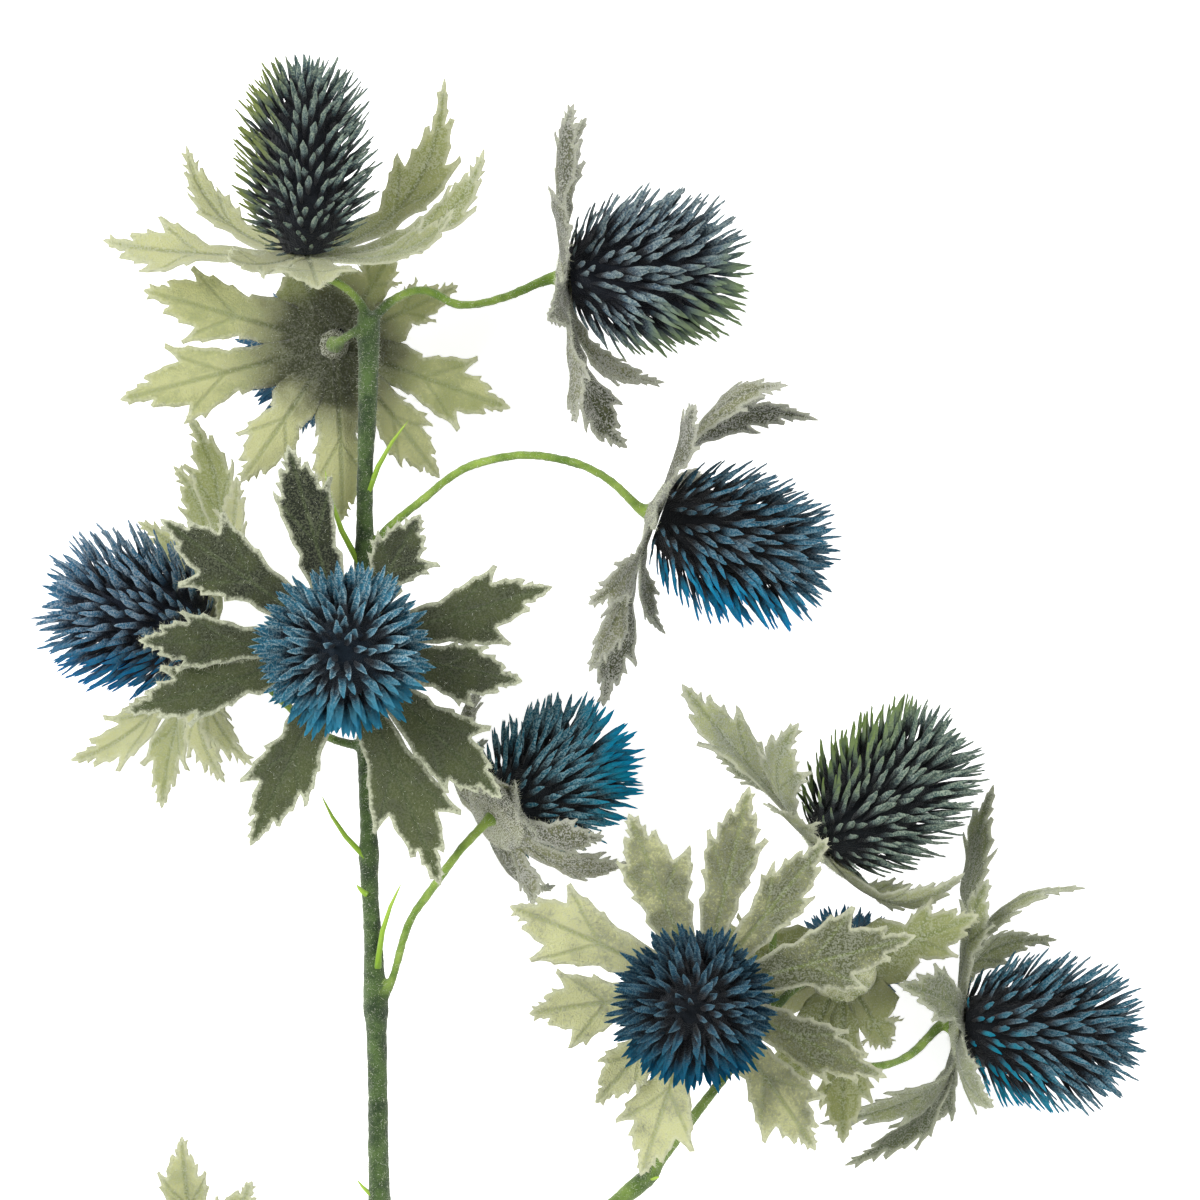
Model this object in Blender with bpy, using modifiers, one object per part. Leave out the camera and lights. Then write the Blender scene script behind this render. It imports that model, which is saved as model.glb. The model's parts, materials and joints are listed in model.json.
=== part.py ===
"""A cut sea holly stem with twelve flower heads, lying on a surface.

Metres, +Z up. The surface is z = 0, and the cut end of the stem points towards -Y.
"""

import math
import random

import bmesh
import bpy
from mathutils import Matrix, Vector

MM = 0.001

# The middle of the stem's outline in the layout below, in millimetres, which becomes the origin
CENTRE_X = -1.5
CENTRE_Y = -76.55

GAP = 0.0003
BRACT_THICKNESS = 0.0007
BRACT_FOLD = 0.22
BEND_ALONG = 0.6
BEND_OUT = 0.35
BEND_RISE = 0.08
HUB_RADIUS = 0.0062
WEB_RADIUS = 0.0076

CONE_NECK = 0.0012
CONE_WIDTH = 29.0
SPIKES_ROUND = 11
SPIKE_ROWS = 10
SPIKE_LENGTH = 0.0086
SPIKE_LENGTH_SPREAD = (0.88, 1.08)
SPIKE_TILT_SPREAD = 5
TOP_SPIKE = 0.0074
CORE_PROFILE = ((0.0, 0.55), (0.15, 0.88), (0.35, 1.0), (0.6, 0.97), (0.8, 0.80), (0.92, 0.58), (1.0, 0.34))
CORE_RADIUS = 0.0074
SPIKE_ANGLE_BASE = math.radians(86)
SPIKE_ANGLE_TIP = math.radians(16)
SPIKE_ANGLE_EASE = 1.25

STALK_RADIUS = 0.85
NECK_FLARE = 1.15
KNOB_RADIUS = 1.7
KNOB_LENGTH = 2.0
STALK_BEVEL_STEPS = 2
STEM_BEVEL_STEPS = 3
AWL_POINT_RADIUS = 0.15

# A bract's body from its root at 0 to its tip at 1: how far along, and its half width as a share of the
# widest
BODY = ((0.30, 0.58), (0.58, 0.82), (0.78, 0.46))
LOBE_AT = 0.68
LOBE_REACH = 1.55
TOOTH_AT = 0.81
TOOTH_REACH = 0.66

# The main stem's middle line from the cut end to the top node: x, y, z and radius in millimetres
MAIN_STEM = (
    (-40.0, -256.0, 1.9, 2.15),
    (-40.0, -243.0, 1.9, 2.15),
    (-40.6, -215.0, 5.0, 2.15),
    (-41.4, -185.0, 8.6, 2.15),
    (-41.8, -158.0, 12.0, 2.30),
    (-42.2, -130.0, 15.4, 2.10),
    (-42.8, -95.0, 19.4, 2.05),
    (-43.1, -72.0, 22.2, 1.85),
    (-44.0, -47.5, 25.4, 1.70),
    (-44.5, -19.0, 29.2, 1.60),
    (-44.8, 7.6, 33.0, 1.55),
    (-44.5, 22.8, 35.6, 1.60),
    (-43.7, 41.6, 39.0, 2.00),
    (-43.6, 54.0, 41.0, 2.15),
)

# The right-hand branch, which leaves the main stem low down
BRANCH = (
    (-41.8, -158.0, 12.0, 1.60),
    (-34.0, -147.0, 14.0, 1.60),
    (-20.0, -134.0, 16.5, 1.55),
    (-8.0, -124.0, 19.0, 1.50),
    (4.0, -114.5, 22.0, 1.50),
    (8.5, -110.5, 23.5, 1.70),
    (16.7, -99.8, 29.0, 1.15),
    (26.4, -86.3, 36.0, 1.10),
    (33.0, -76.5, 40.0, 1.20),
)

# Small pointed blades at the nodes: root, tip and half width in millimetres
AWLS = (
    ((-44.4, 18.5, 35.0), (-36.0, 34.0, 40.0), 0.75),
    ((-45.0, 6.0, 33.0), (-52.0, 25.0, 38.5), 0.85),
    ((-44.2, -49.5, 25.5), (-53.0, -37.0, 29.0), 0.75),
    ((-42.4, -70.0, 24.0), (-37.6, -53.6, 29.5), 0.85),
    ((9.0, -111.0, 24.0), (11.4, -110.0, 26.0), 0.9),
    ((-44.5, -56.0, 26.0), (-46.4, -54.2, 26.8), 1.0),
    ((-42.4, -115.0, 17.5), (-46.6, -111.0, 18.5), 0.9),
)


def head(base, axis, length, width, stalk, bracts):
    return {
        "base": base,
        "axis": axis,
        "length": length,
        "width": width,
        "stalk": stalk,
        "bracts": bracts,
    }


# Each head's base, the way it faces, its length and width, its stalk's points before the base, and its
# bracts. A bract is its tip from the base and its half width in millimetres, its lobes' size on its left and
# right, and how far it is twisted in degrees
HEADS = (
    head(
        (-55.1, 64.5, 45.0), (0.0, 0.96, 0.26), 40.0, 28.0,
        ((-43.6, 53.0, 41.0), (-46.0, 57.0, 43.0), (-50.0, 60.0, 44.0)),
        (
            (-38.2, 3.0, 2.0, 4.8, 0.6, 0.9, -80), (-23.6, 22.0, -16.0, 3.0, 0.4, 0.0, -50),
            (25.5, 35.0, -19.0, 4.8, 0.9, 0.6, 70), (33.3, 20.3, 0.0, 3.6, 0.0, 0.6, 60),
            (27.9, 8.2, 15.0, 4.2, 0.5, 0.0, 60), (3.0, -7.0, 20.0, 6.6, 0.7, 0.7, 0),
            (-14.0, -1.0, 18.0, 4.4, 0.6, 0.0, -50),
        ),
    ),
    head(
        (-50.4, 48.3, 34.3), (-0.26, -0.06, -0.96), 36.5, 28.0,
        ((-43.6, 52.0, 41.0), (-46.2, 50.6, 41.6)),
        (
            (-35.7, 10.1, 7.0, 5.4, 0.4, 0.8, 0), (-40.1, -10.6, 7.0, 5.4, 0.8, 0.8, 0),
            (-17.5, -26.0, 3.0, 5.0, 0.3, 0.5, 0), (1.3, -33.3, -4.0, 4.8, 0.2, 0.3, 0),
            (19.8, -25.1, -8.0, 4.4, 0.3, 0.5, 0), (33.4, -11.8, -7.0, 4.8, 0.8, 0.9, 0),
            (23.4, 11.6, -7.0, 3.8, 0.3, 0.5, 0), (11.5, 19.2, -6.0, 4.0, 0.5, 0.2, 0),
            (-13.0, 24.0, -7.0, 4.2, 0.5, 0.5, 0),
        ),
    ),
    head(
        (-6.8, 61.2, 30.0), (0.995, 0.08, 0.03), 35.0, 30.0,
        ((-43.6, 52.4, 40.6), (-38.4, 57.0, 40.8), (-33.0, 58.4, 39.4), (-26.6, 55.8, 37.0),
         (-18.6, 57.2, 33.6)),
        (
            (1.9, 32.3, 12.0, 3.6, 0.3, 0.5, 55), (4.2, 31.2, -10.0, 3.6, 0.5, 0.3, -45),
            (-2.1, 15.2, 26.0, 4.4, 0.5, 0.3, 35), (-3.0, -9.0, 25.0, 4.4, 0.3, 0.5, 20),
            (2.3, -27.9, 15.0, 3.8, 0.3, 0.6, -50), (12.0, -32.3, -4.0, 4.4, 0.7, 0.4, -65),
            (19.2, -19.4, -14.0, 3.4, 0.0, 0.4, -40), (4.0, 6.0, -25.0, 4.0, 0.5, 0.5, 0),
        ),
    ),
    head(
        (10.3, 16.5, 29.5), (0.939, -0.344, 0.0), 36.5, 29.0,
        ((-44.6, 6.0, 33.0), (-41.0, 12.6, 34.6), (-33.8, 18.8, 36.0), (-25.5, 24.9, 36.8),
         (-15.0, 27.4, 36.4), (-4.8, 26.0, 34.0), (2.0, 22.6, 31.4)),
        (
            (7.6, 20.1, 20.0, 4.2, 0.4, 0.5, 50), (25.3, 24.1, 6.0, 3.8, 0.3, 0.6, 45),
            (31.5, 17.9, -9.0, 3.8, 0.5, 0.5, 40), (12.0, 6.0, -26.0, 3.8, 0.3, 0.3, 0),
            (-12.5, -17.3, 19.0, 4.2, 0.5, 0.5, -50), (-12.4, -30.0, 11.0, 4.0, 0.3, 0.6, -60),
            (-9.7, -36.9, -8.0, 4.8, 0.6, 0.4, -60), (2.3, -23.0, -18.0, 3.8, 0.4, 0.4, 0),
            (0.0, 2.0, 27.0, 4.2, 0.5, 0.3, 0),
        ),
    ),
    head(
        (-75.1, -6.3, 25.0), (-0.92, 0.25, 0.30), 32.5, 31.0,
        ((-44.4, -28.0, 28.0), (-52.0, -26.0, 25.6), (-61.0, -19.0, 22.8)),
        (
            (-4.0, 41.6, -2.0, 3.8, 0.6, 0.5, -75), (-7.0, 32.1, -11.0, 3.6, 0.4, 0.4, -70),
            (6.1, 29.8, 7.0, 3.6, 0.4, 0.4, 65), (-14.3, 21.5, -17.0, 3.6, 0.4, 0.4, -50),
            (-27.4, -24.7, -19.0, 4.2, 0.7, 0.5, 60), (-9.1, -33.8, -10.0, 4.2, 0.4, 0.6, 75),
            (3.6, -28.5, 1.0, 3.6, 0.3, 0.3, 70), (9.3, -25.1, 9.0, 3.2, 0.3, 0.3, 55),
            (2.0, 8.0, 14.0, 4.4, 0.5, 0.5, 0),
        ),
    ),
    head(
        (-47.9, -8.9, 44.0), (0.02, -0.03, 1.0), 34.0, 32.5,
        ((-44.5, -22.0, 28.8), (-46.2, -19.0, 33.0), (-47.4, -13.0, 37.0)),
        (
            (-10.6, 38.0, 5.0, 5.0, 0.2, 0.4, 0), (14.3, 24.9, 7.0, 5.4, 0.3, 0.9, 0),
            (39.0, 11.4, 3.0, 5.4, 0.7, 0.9, 0), (33.4, -6.3, 8.0, 5.2, 0.2, 0.5, 0),
            (29.5, -28.3, 5.0, 5.6, 0.9, 0.3, 0), (18.0, -44.8, 1.0, 5.8, 0.9, 1.0, 0),
            (-17.7, -37.2, 5.0, 5.4, 0.3, 0.9, 0), (-41.4, -12.2, 2.0, 5.0, 0.3, 0.7, 0),
            (-38.4, 1.3, 8.0, 4.8, 0.4, 0.4, 0), (-34.6, 24.1, 4.0, 5.4, 0.9, 0.8, 0),
        ),
    ),
    head(
        (-19.6, -41.0, 29.5), (0.70, 0.44, -0.56), 33.0, 31.0,
        ((-42.6, -79.0, 21.4), (-39.6, -72.2, 23.6), (-36.4, -61.6, 27.6), (-31.4, -54.2, 30.6),
         (-26.6, -47.6, 33.0)),
        (
            (20.4, -3.5, 10.0, 3.4, 0.4, 0.6, 0), (25.6, -8.7, -1.0, 3.6, 0.5, 0.5, 0),
            (7.0, -17.0, -2.0, 3.4, 0.3, 0.3, 0), (11.0, -14.0, -19.0, 3.6, 0.3, 0.3, 0),
            (-11.0, 8.0, 12.0, 4.6, 0.5, 0.5, 0), (-2.0, 26.0, -8.0, 4.0, 0.4, 0.4, 0),
            (-2.0, 14.0, -22.0, 3.8, 0.4, 0.4, 0), (4.0, 0.0, 14.0, 4.4, 0.4, 0.4, 0),
        ),
    ),
    head(
        (19.0, -73.5, 47.0), (-0.10, -0.11, 0.99), 34.0, 32.0,
        ((8.5, -110.5, 24.0), (9.2, -103.5, 28.0), (11.0, -92.0, 34.0), (15.0, -81.0, 39.0)),
        (
            (-13.7, 33.6, 5.0, 5.6, 0.3, 1.0, 0), (8.9, 38.8, 7.0, 5.0, 0.3, 0.4, 0),
            (23.8, 29.1, 3.0, 4.6, 0.4, 0.4, 0), (40.1, 10.8, 6.0, 5.6, 0.9, 0.8, 0),
            (34.8, -16.0, 2.0, 4.6, 0.4, 0.3, 0), (21.3, -29.3, 6.0, 5.2, 0.8, 1.0, 0),
            (-11.4, -34.4, 2.0, 5.6, 0.9, 0.7, 0), (-19.8, -20.5, 6.0, 4.4, 0.3, 0.3, 0),
            (-32.3, -4.0, 2.0, 5.2, 0.9, 0.9, 0), (-35.9, 16.3, 6.0, 5.6, 0.8, 0.8, 0),
        ),
    ),
    head(
        (42.2, -47.7, 27.0), (0.74, 0.66, 0.10), 36.0, 30.0,
        ((31.8, -78.2, 39.4), (32.6, -68.0, 38.6), (33.6, -58.0, 33.0)),
        (
            (-26.6, 31.7, 0.0, 5.6, 0.3, 0.4, 75), (-20.3, 18.8, -12.0, 4.4, 0.3, 0.3, 65),
            (-4.6, 24.5, 12.0, 5.0, 0.7, 0.4, 60), (-8.0, 8.0, 16.0, 5.2, 0.5, 0.4, 45),
            (27.0, -4.0, 6.0, 3.8, 0.4, 0.4, 50), (20.0, -8.0, -7.0, 3.6, 0.4, 0.4, 40),
            (4.0, 6.0, -24.0, 3.8, 0.4, 0.4, 0),
        ),
    ),
    head(
        (68.0, -81.3, 25.0), (0.995, -0.06, 0.0), 36.5, 30.0,
        ((31.0, -79.0, 39.0), (40.0, -85.0, 41.0), (51.0, -88.0, 39.0), (58.5, -86.5, 32.0)),
        (
            (7.6, 45.8, -10.0, 4.8, 0.4, 0.6, 55), (5.5, 28.5, 10.0, 4.2, 0.3, 0.9, 60),
            (24.5, 26.4, 1.0, 3.2, 0.5, 0.0, 30), (20.1, 15.8, -14.0, 3.8, 0.0, 0.4, 50),
            (-12.0, 9.0, 18.0, 4.6, 0.5, 0.5, 0), (-26.2, -18.4, 2.5, 4.4, 0.4, 0.7, -45),
            (-21.1, -27.0, -6.0, 4.4, 0.4, 0.4, -35), (-5.7, -20.0, -18.0, 4.0, 0.3, 0.5, -50),
            (6.0, -14.0, 20.0, 4.4, 0.5, 0.4, 0), (5.0, 3.0, -21.0, 3.8, 0.4, 0.4, 0),
        ),
    ),
    head(
        (46.0, -70.0, 35.4), (0.05, 0.0, -1.0), 36.5, 27.5,
        ((32.4, -77.4, 39.6), (37.0, -73.0, 41.4), (43.0, -69.4, 41.6)),
        (
            (25.5, 10.6, 4.0, 4.8, 0.7, 0.7, 0), (9.0, -15.0, -3.0, 4.0, 0.4, 0.4, 0),
            (-11.0, -24.0, -6.0, 4.6, 0.4, 0.4, 0), (0.0, -33.0, -1.5, 4.4, 0.3, 0.5, 0),
            (-24.0, -10.0, -7.0, 4.6, 0.4, 0.4, 0), (-27.0, 6.0, -7.0, 4.6, 0.4, 0.4, 0),
        ),
    ),
    head(
        (-76.0, -131.1, 28.0), (-0.45, -0.25, 0.86), 35.0, 30.0,
        ((-42.0, -152.0, 13.0), (-50.0, -149.0, 14.6), (-61.0, -142.0, 18.0), (-70.0, -135.2, 22.0)),
        (
            (-3.2, 29.5, 6.0, 4.6, 0.4, 0.6, 0), (10.4, 21.5, 12.0, 4.2, 0.3, 0.4, 0),
            (27.0, 10.0, 16.0, 4.6, 0.6, 0.5, 0), (30.0, -13.0, 12.0, 4.6, 0.5, 0.6, 0),
            (12.0, -32.0, 0.0, 4.6, 0.6, 0.4, 0), (-13.0, -32.0, -12.0, 4.6, 0.4, 0.5, 0),
            (-30.0, -14.0, -18.0, 4.4, 0.5, 0.5, 0), (-28.0, 12.0, -10.0, 4.4, 0.4, 0.6, 0),
        ),
    ),
)

STEM_COLOUR = (0.07, 0.13, 0.045)
BRACT_COLOURS = {
    1: (0.42, 0.50, 0.27), 2: (0.47, 0.55, 0.26), 3: (0.27, 0.30, 0.19), 4: (0.26, 0.28, 0.18),
    5: (0.42, 0.50, 0.27), 6: (0.07, 0.10, 0.05), 7: (0.33, 0.36, 0.27), 8: (0.40, 0.46, 0.25),
    9: (0.38, 0.43, 0.27), 10: (0.27, 0.30, 0.19), 11: (0.44, 0.52, 0.27), 12: (0.44, 0.52, 0.27),
}
CONE_COLOURS = {
    1: (0.035, 0.065, 0.11), 2: (0.04, 0.08, 0.14), 3: (0.035, 0.07, 0.13), 4: (0.01, 0.07, 0.12),
    5: (0.03, 0.09, 0.16), 6: (0.04, 0.13, 0.20), 7: (0.01, 0.07, 0.13), 8: (0.01, 0.06, 0.10),
    9: (0.07, 0.12, 0.13), 10: (0.01, 0.07, 0.13), 11: (0.03, 0.08, 0.14), 12: (0.02, 0.08, 0.13),
}


def clear_scene():
    for item in list(bpy.data.objects):
        bpy.data.objects.remove(item)


def new_collection(name, helpers=False):
    made = bpy.data.collections.new(name)
    bpy.context.scene.collection.children.link(made)
    made.hide_render = helpers
    return made


def material(name, colour, roughness):
    made = bpy.data.materials.new(name)
    made.use_nodes = True
    shader = made.node_tree.nodes["Principled BSDF"]
    shader.inputs["Base Color"].default_value = (*colour, 1.0)
    shader.inputs["Roughness"].default_value = roughness
    shader.inputs["Metallic"].default_value = 0.0
    made.diffuse_color = (*colour, 1.0)
    return made


def layout(point):
    """A point of the layout, given in millimetres, in metres from the object's origin."""
    x, y, z = point
    return Vector((x - CENTRE_X, y - CENTRE_Y, z)) * MM


def interpolate(table, at):
    """The value at a place in a table of (place, value) rows."""
    for (start, low), (end, high) in zip(table, table[1:]):
        if at <= end:
            return low + (high - low) * (at - start) / (end - start)
    return table[-1][1]


def turn_to(axis):
    """The rotation that brings +Z to the way a head faces."""
    return Vector(axis).normalized().to_track_quat("Z", "Y")


def add_object(name, mesh, collection, colour, roughness=0.85):
    made = bpy.data.objects.new(name, mesh)
    mesh.materials.append(material(name, colour, roughness))
    collection.objects.link(made)
    return made


def tube(name, points, bevel_steps, collection):
    """A round stalk along points, each (x, y, z, radius) in millimetres, as a closed mesh."""
    curve = bpy.data.curves.new(name, "CURVE")
    curve.dimensions = "3D"
    curve.bevel_depth = MM
    curve.bevel_resolution = bevel_steps
    curve.use_fill_caps = True
    spline = curve.splines.new("POLY")
    spline.points.add(len(points) - 1)
    for target, (x, y, z, radius) in zip(spline.points, points):
        target.co = (*layout((x, y, z)), 1.0)
        target.radius = radius
    guide = bpy.data.objects.new(name, curve)
    collection.objects.link(guide)
    bpy.context.view_layer.update()
    mesh = bpy.data.meshes.new_from_object(guide.evaluated_get(bpy.context.evaluated_depsgraph_get()))
    bpy.data.objects.remove(guide)
    welded = bmesh.new()
    welded.from_mesh(mesh)
    bmesh.ops.remove_doubles(welded, verts=welded.verts, dist=1e-6)
    bmesh.ops.recalc_face_normals(welded, faces=welded.faces)
    welded.to_mesh(mesh)
    welded.free()
    made = bpy.data.objects.new(name, mesh)
    collection.objects.link(made)
    return made


def smooth_route(points, steps):
    """Points along a smooth curve through the given ones."""
    given = [Vector(point) for point in points]
    rows = [given[0] * 2 - given[1], *given, given[-1] * 2 - given[-2]]
    made = []
    for a, b, c, d in zip(rows, rows[1:], rows[2:], rows[3:]):
        for step in range(steps):
            t = step / steps
            square = 2 * a - 5 * b + 4 * c - d
            cube = 3 * b - a - 3 * c + d
            made.append(0.5 * (2 * b + (c - a) * t + square * t**2 + cube * t**3))
    made.append(rows[-2])
    return made


def awl(name, root, tip, half_width, collection):
    """A small pointed three-sided blade."""
    start = layout(root)
    along = layout(tip) - start
    made = bmesh.new()
    bmesh.ops.create_cone(
        made,
        cap_ends=True,
        segments=3,
        radius1=half_width * MM,
        radius2=AWL_POINT_RADIUS * MM,
        depth=along.length,
    )
    bmesh.ops.translate(made, vec=(0, 0, along.length / 2), verts=made.verts)
    bmesh.ops.transform(
        made,
        matrix=Matrix.Translation(start) @ along.to_track_quat("Z", "Y").to_matrix().to_4x4(),
        verts=made.verts,
    )
    mesh = bpy.data.meshes.new(name)
    made.to_mesh(mesh)
    made.free()
    blade = bpy.data.objects.new(name, mesh)
    collection.objects.link(blade)
    return blade


def stalk_points(spec):
    """A stalk's points and radii, from the stem to just behind the head's bracts."""
    axis = Vector(spec["axis"]).normalized()
    seat = Vector(spec["base"]) - axis * (BRACT_THICKNESS / 2 + GAP) / MM
    neck = seat - axis * KNOB_LENGTH
    route = [*map(Vector, spec["stalk"]), neck, seat]
    smooth = smooth_route(route, 2)[:-2]
    points = [(*p, STALK_RADIUS) for p in smooth[:-1]]
    return [*points, (*neck, STALK_RADIUS * NECK_FLARE), (*seat, KNOB_RADIUS)]


def build_stem(collection, helpers):
    """The main stem with its branch, stalks and small blades, one solid, cut flat where it rests."""
    main = tube("stem", MAIN_STEM, STEM_BEVEL_STEPS, collection)
    pieces = [tube("branch", BRANCH, STALK_BEVEL_STEPS, helpers)]
    for number, spec in enumerate(HEADS, 1):
        pieces.append(tube(f"stalk_{number:02d}", stalk_points(spec), STALK_BEVEL_STEPS, helpers))
    for number, (root, tip, half_width) in enumerate(AWLS):
        pieces.append(awl(f"awl_{number}", root, tip, half_width, helpers))
    join = main.modifiers.new("join", "BOOLEAN")
    join.operation = "UNION"
    join.operand_type = "COLLECTION"
    join.collection = helpers
    join.solver = "MANIFOLD"
    bpy.context.view_layer.update()
    joined = bpy.data.meshes.new_from_object(main.evaluated_get(bpy.context.evaluated_depsgraph_get()))
    main.modifiers.clear()
    main.data = joined
    for piece in pieces:
        bpy.data.objects.remove(piece)
    cut_flat(joined, Matrix.Identity(4))
    joined.materials.clear()
    joined.materials.append(material("stem", STEM_COLOUR, 0.8))
    return main


def cut_flat(mesh, to_world):
    """Cuts off what lies under the surface, so that the piece rests on small flat spots."""
    work = bmesh.new()
    work.from_mesh(mesh)
    to_local = to_world.inverted()
    bmesh.ops.bisect_plane(
        work,
        geom=[*work.verts, *work.edges, *work.faces],
        dist=1e-7,
        plane_co=to_local @ Vector((0, 0, 0)),
        plane_no=(to_local.to_3x3() @ Vector((0, 0, 1))).normalized(),
        clear_inner=True,
    )
    bmesh.ops.holes_fill(work, edges=[e for e in work.edges if e.is_boundary], sides=0)
    bmesh.ops.remove_doubles(work, verts=work.verts, dist=2e-6)
    work.to_mesh(mesh)
    work.free()


def cone_mesh(name, length, width, seed):
    """A spiky egg-shaped head along +Z: a net of diamonds round a core, each raised to a leaning spike."""
    draw = random.Random(seed)
    spread = width / CONE_WIDTH
    core_length = length * MM - CONE_NECK - TOP_SPIKE
    start = BRACT_THICKNESS / 2 + GAP
    work = bmesh.new()
    rows = []
    for row in range(SPIKE_ROWS + 1):
        along = row / SPIKE_ROWS
        radius = CORE_RADIUS * spread * interpolate(CORE_PROFILE, along)
        height = start + CONE_NECK + core_length * along
        shift = 0.5 * (row % 2)
        rows.append(
            [
                work.verts.new(
                    (
                        radius * math.cos(math.tau * (step + shift) / SPIKES_ROUND),
                        radius * math.sin(math.tau * (step + shift) / SPIKES_ROUND),
                        height,
                    )
                )
                for step in range(SPIKES_ROUND)
            ]
        )
    for row in range(1, SPIKE_ROWS):
        along = row / SPIKE_ROWS
        lean = SPIKE_ANGLE_BASE + (SPIKE_ANGLE_TIP - SPIKE_ANGLE_BASE) * along**SPIKE_ANGLE_EASE
        between = 0 if row % 2 else -1
        for step in range(SPIKES_ROUND):
            left = rows[row][step - 1]
            right = rows[row][step]
            below = rows[row - 1][step + between]
            above = rows[row + 1][step + between]
            middle = (left.co + right.co + below.co + above.co) / 4
            outward = Vector((middle.x, middle.y, 0)).normalized()
            reach = SPIKE_LENGTH * spread * draw.uniform(*SPIKE_LENGTH_SPREAD)
            tilt = lean + math.radians(draw.uniform(-SPIKE_TILT_SPREAD, SPIKE_TILT_SPREAD))
            tip = work.verts.new(middle + reach * (outward * math.sin(tilt) + Vector((0, 0, math.cos(tilt)))))
            ring = (below, right, above, left)
            for first, second in zip(ring, ring[1:] + ring[:1]):
                work.faces.new((first, second, tip))
    bottom = work.verts.new((0, 0, start))
    foot = [work.verts.new((v.co.x, v.co.y, start)) for v in rows[0]]
    for step in range(SPIKES_ROUND):
        after = (step + 1) % SPIKES_ROUND
        work.faces.new((foot[after], foot[step], bottom))
        work.faces.new((foot[step], foot[after], rows[0][after], rows[0][step]))
        work.faces.new((rows[0][step], rows[0][after], rows[1][step]))
    top = work.verts.new((0, 0, rows[-1][0].co.z + TOP_SPIKE))
    last, before = rows[-1], rows[-2]
    for step in range(SPIKES_ROUND):
        after = (step + 1) % SPIKES_ROUND
        work.faces.new((last[step], last[after], top))
        if SPIKE_ROWS % 2:
            work.faces.new((before[after], last[after], last[step]))
        else:
            work.faces.new((before[step], last[after], last[step]))
    bmesh.ops.recalc_face_normals(work, faces=work.faces)
    mesh = bpy.data.meshes.new(name)
    work.to_mesh(mesh)
    work.free()
    return mesh


def bract_point(root, bend, tip, side, twist, along, across):
    """A point on a bract: along its curved, twisted midrib, and across it with both halves folded up."""
    middle = root * (1 - along) ** 2 + bend * (2 * along * (1 - along)) + tip * along**2
    heading = ((bend - root) * (1 - along) + (tip - bend) * along).normalized()
    turned = Matrix.Rotation(twist * along, 3, heading) @ side
    face = heading.cross(turned).normalized()
    return middle + turned * across + face * (abs(across) * BRACT_FOLD)


def bracts_mesh(name, spec):
    """One whorl of bracts as a thin star-shaped sheet round its hub, facing +Z."""
    to_local = turn_to(spec["axis"]).inverted()
    bracts = []
    for x, y, z, half_width, left, right, twist in spec["bracts"]:
        tip = to_local @ (Vector((x, y, z)) * MM)
        bracts.append((math.atan2(tip.y, tip.x), tip, half_width * MM, left, right, math.radians(twist)))
    bracts.sort(key=lambda bract: bract[0])
    work = bmesh.new()
    hub = work.verts.new((0, 0, 0))
    webs = []
    for (angle, *_), (following, *_) in zip(bracts, bracts[1:] + bracts[:1]):
        gap = (following - angle) % math.tau
        edge = angle + gap / 2
        webs.append(work.verts.new((WEB_RADIUS * math.cos(edge), WEB_RADIUS * math.sin(edge), 0)))
    for number, (angle, tip, half_width, left, right, twist) in enumerate(bracts):
        out = Vector((math.cos(angle), math.sin(angle), 0))
        side = Vector((0, 0, 1)).cross(out)
        root = out * HUB_RADIUS
        flat = Vector((tip.x, tip.y, 0)).length
        ahead = max(tip.z, 0)
        reach = HUB_RADIUS + BEND_ALONG * (flat - HUB_RADIUS) + BEND_OUT * ahead
        bend = out * reach + Vector((0, 0, BEND_RISE * tip.z))
        rib = [work.verts.new(root)]
        rib += [work.verts.new(bract_point(root, bend, tip, side, twist, t, 0)) for t, _ in BODY]
        end = work.verts.new(tip)
        for sign, web, lobe in ((1, webs[number], left), (-1, webs[number - 1], right)):
            edge = [web]
            for t, w in BODY:
                place = bract_point(root, bend, tip, side, twist, t, sign * w * half_width)
                edge.append(work.verts.new(place))
            lobe_tip = work.verts.new(
                bract_point(
                    root, bend, tip, side, twist, LOBE_AT, sign * half_width * (1 + (LOBE_REACH - 1) * lobe)
                )
            )
            tooth = work.verts.new(
                bract_point(root, bend, tip, side, twist, TOOTH_AT, sign * half_width * TOOTH_REACH)
            )
            faces = [(hub, rib[0], web)]
            for i in range(len(BODY)):
                faces.append((rib[i], rib[i + 1], edge[i]))
                faces.append((rib[i + 1], edge[i + 1], edge[i]))
            faces.append((rib[-1], end, edge[-1]))
            faces.append((edge[1], edge[2], lobe_tip))
            faces.append((edge[2], edge[3], tooth))
            for face in faces:
                work.faces.new(face if sign > 0 else face[::-1])
    bmesh.ops.recalc_face_normals(work, faces=work.faces)
    mesh = bpy.data.meshes.new(name)
    work.to_mesh(mesh)
    work.free()
    return mesh


def build_head(number, spec, collection, parent):
    """A head's cone and its whorl of bracts, both turned the way the head faces."""
    place = layout(spec["base"])
    turn = turn_to(spec["axis"])
    bracts = add_object(
        f"head_{number:02d}_bracts",
        bracts_mesh(f"head_{number:02d}_bracts", spec),
        collection,
        BRACT_COLOURS[number],
        0.9,
    )
    thicken = bracts.modifiers.new("thickness", "SOLIDIFY")
    thicken.thickness = BRACT_THICKNESS
    thicken.offset = 0.0
    cone = add_object(
        f"head_{number:02d}_cone",
        cone_mesh(f"head_{number:02d}_cone", spec["length"], spec["width"], number),
        collection,
        CONE_COLOURS[number],
        0.8,
    )
    for item in (bracts, cone):
        item.parent = parent
        item.rotation_mode = "QUATERNION"
        item.rotation_quaternion = turn
        item.location = place
    cut_flat(cone.data, Matrix.Translation(place) @ turn.to_matrix().to_4x4())


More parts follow.
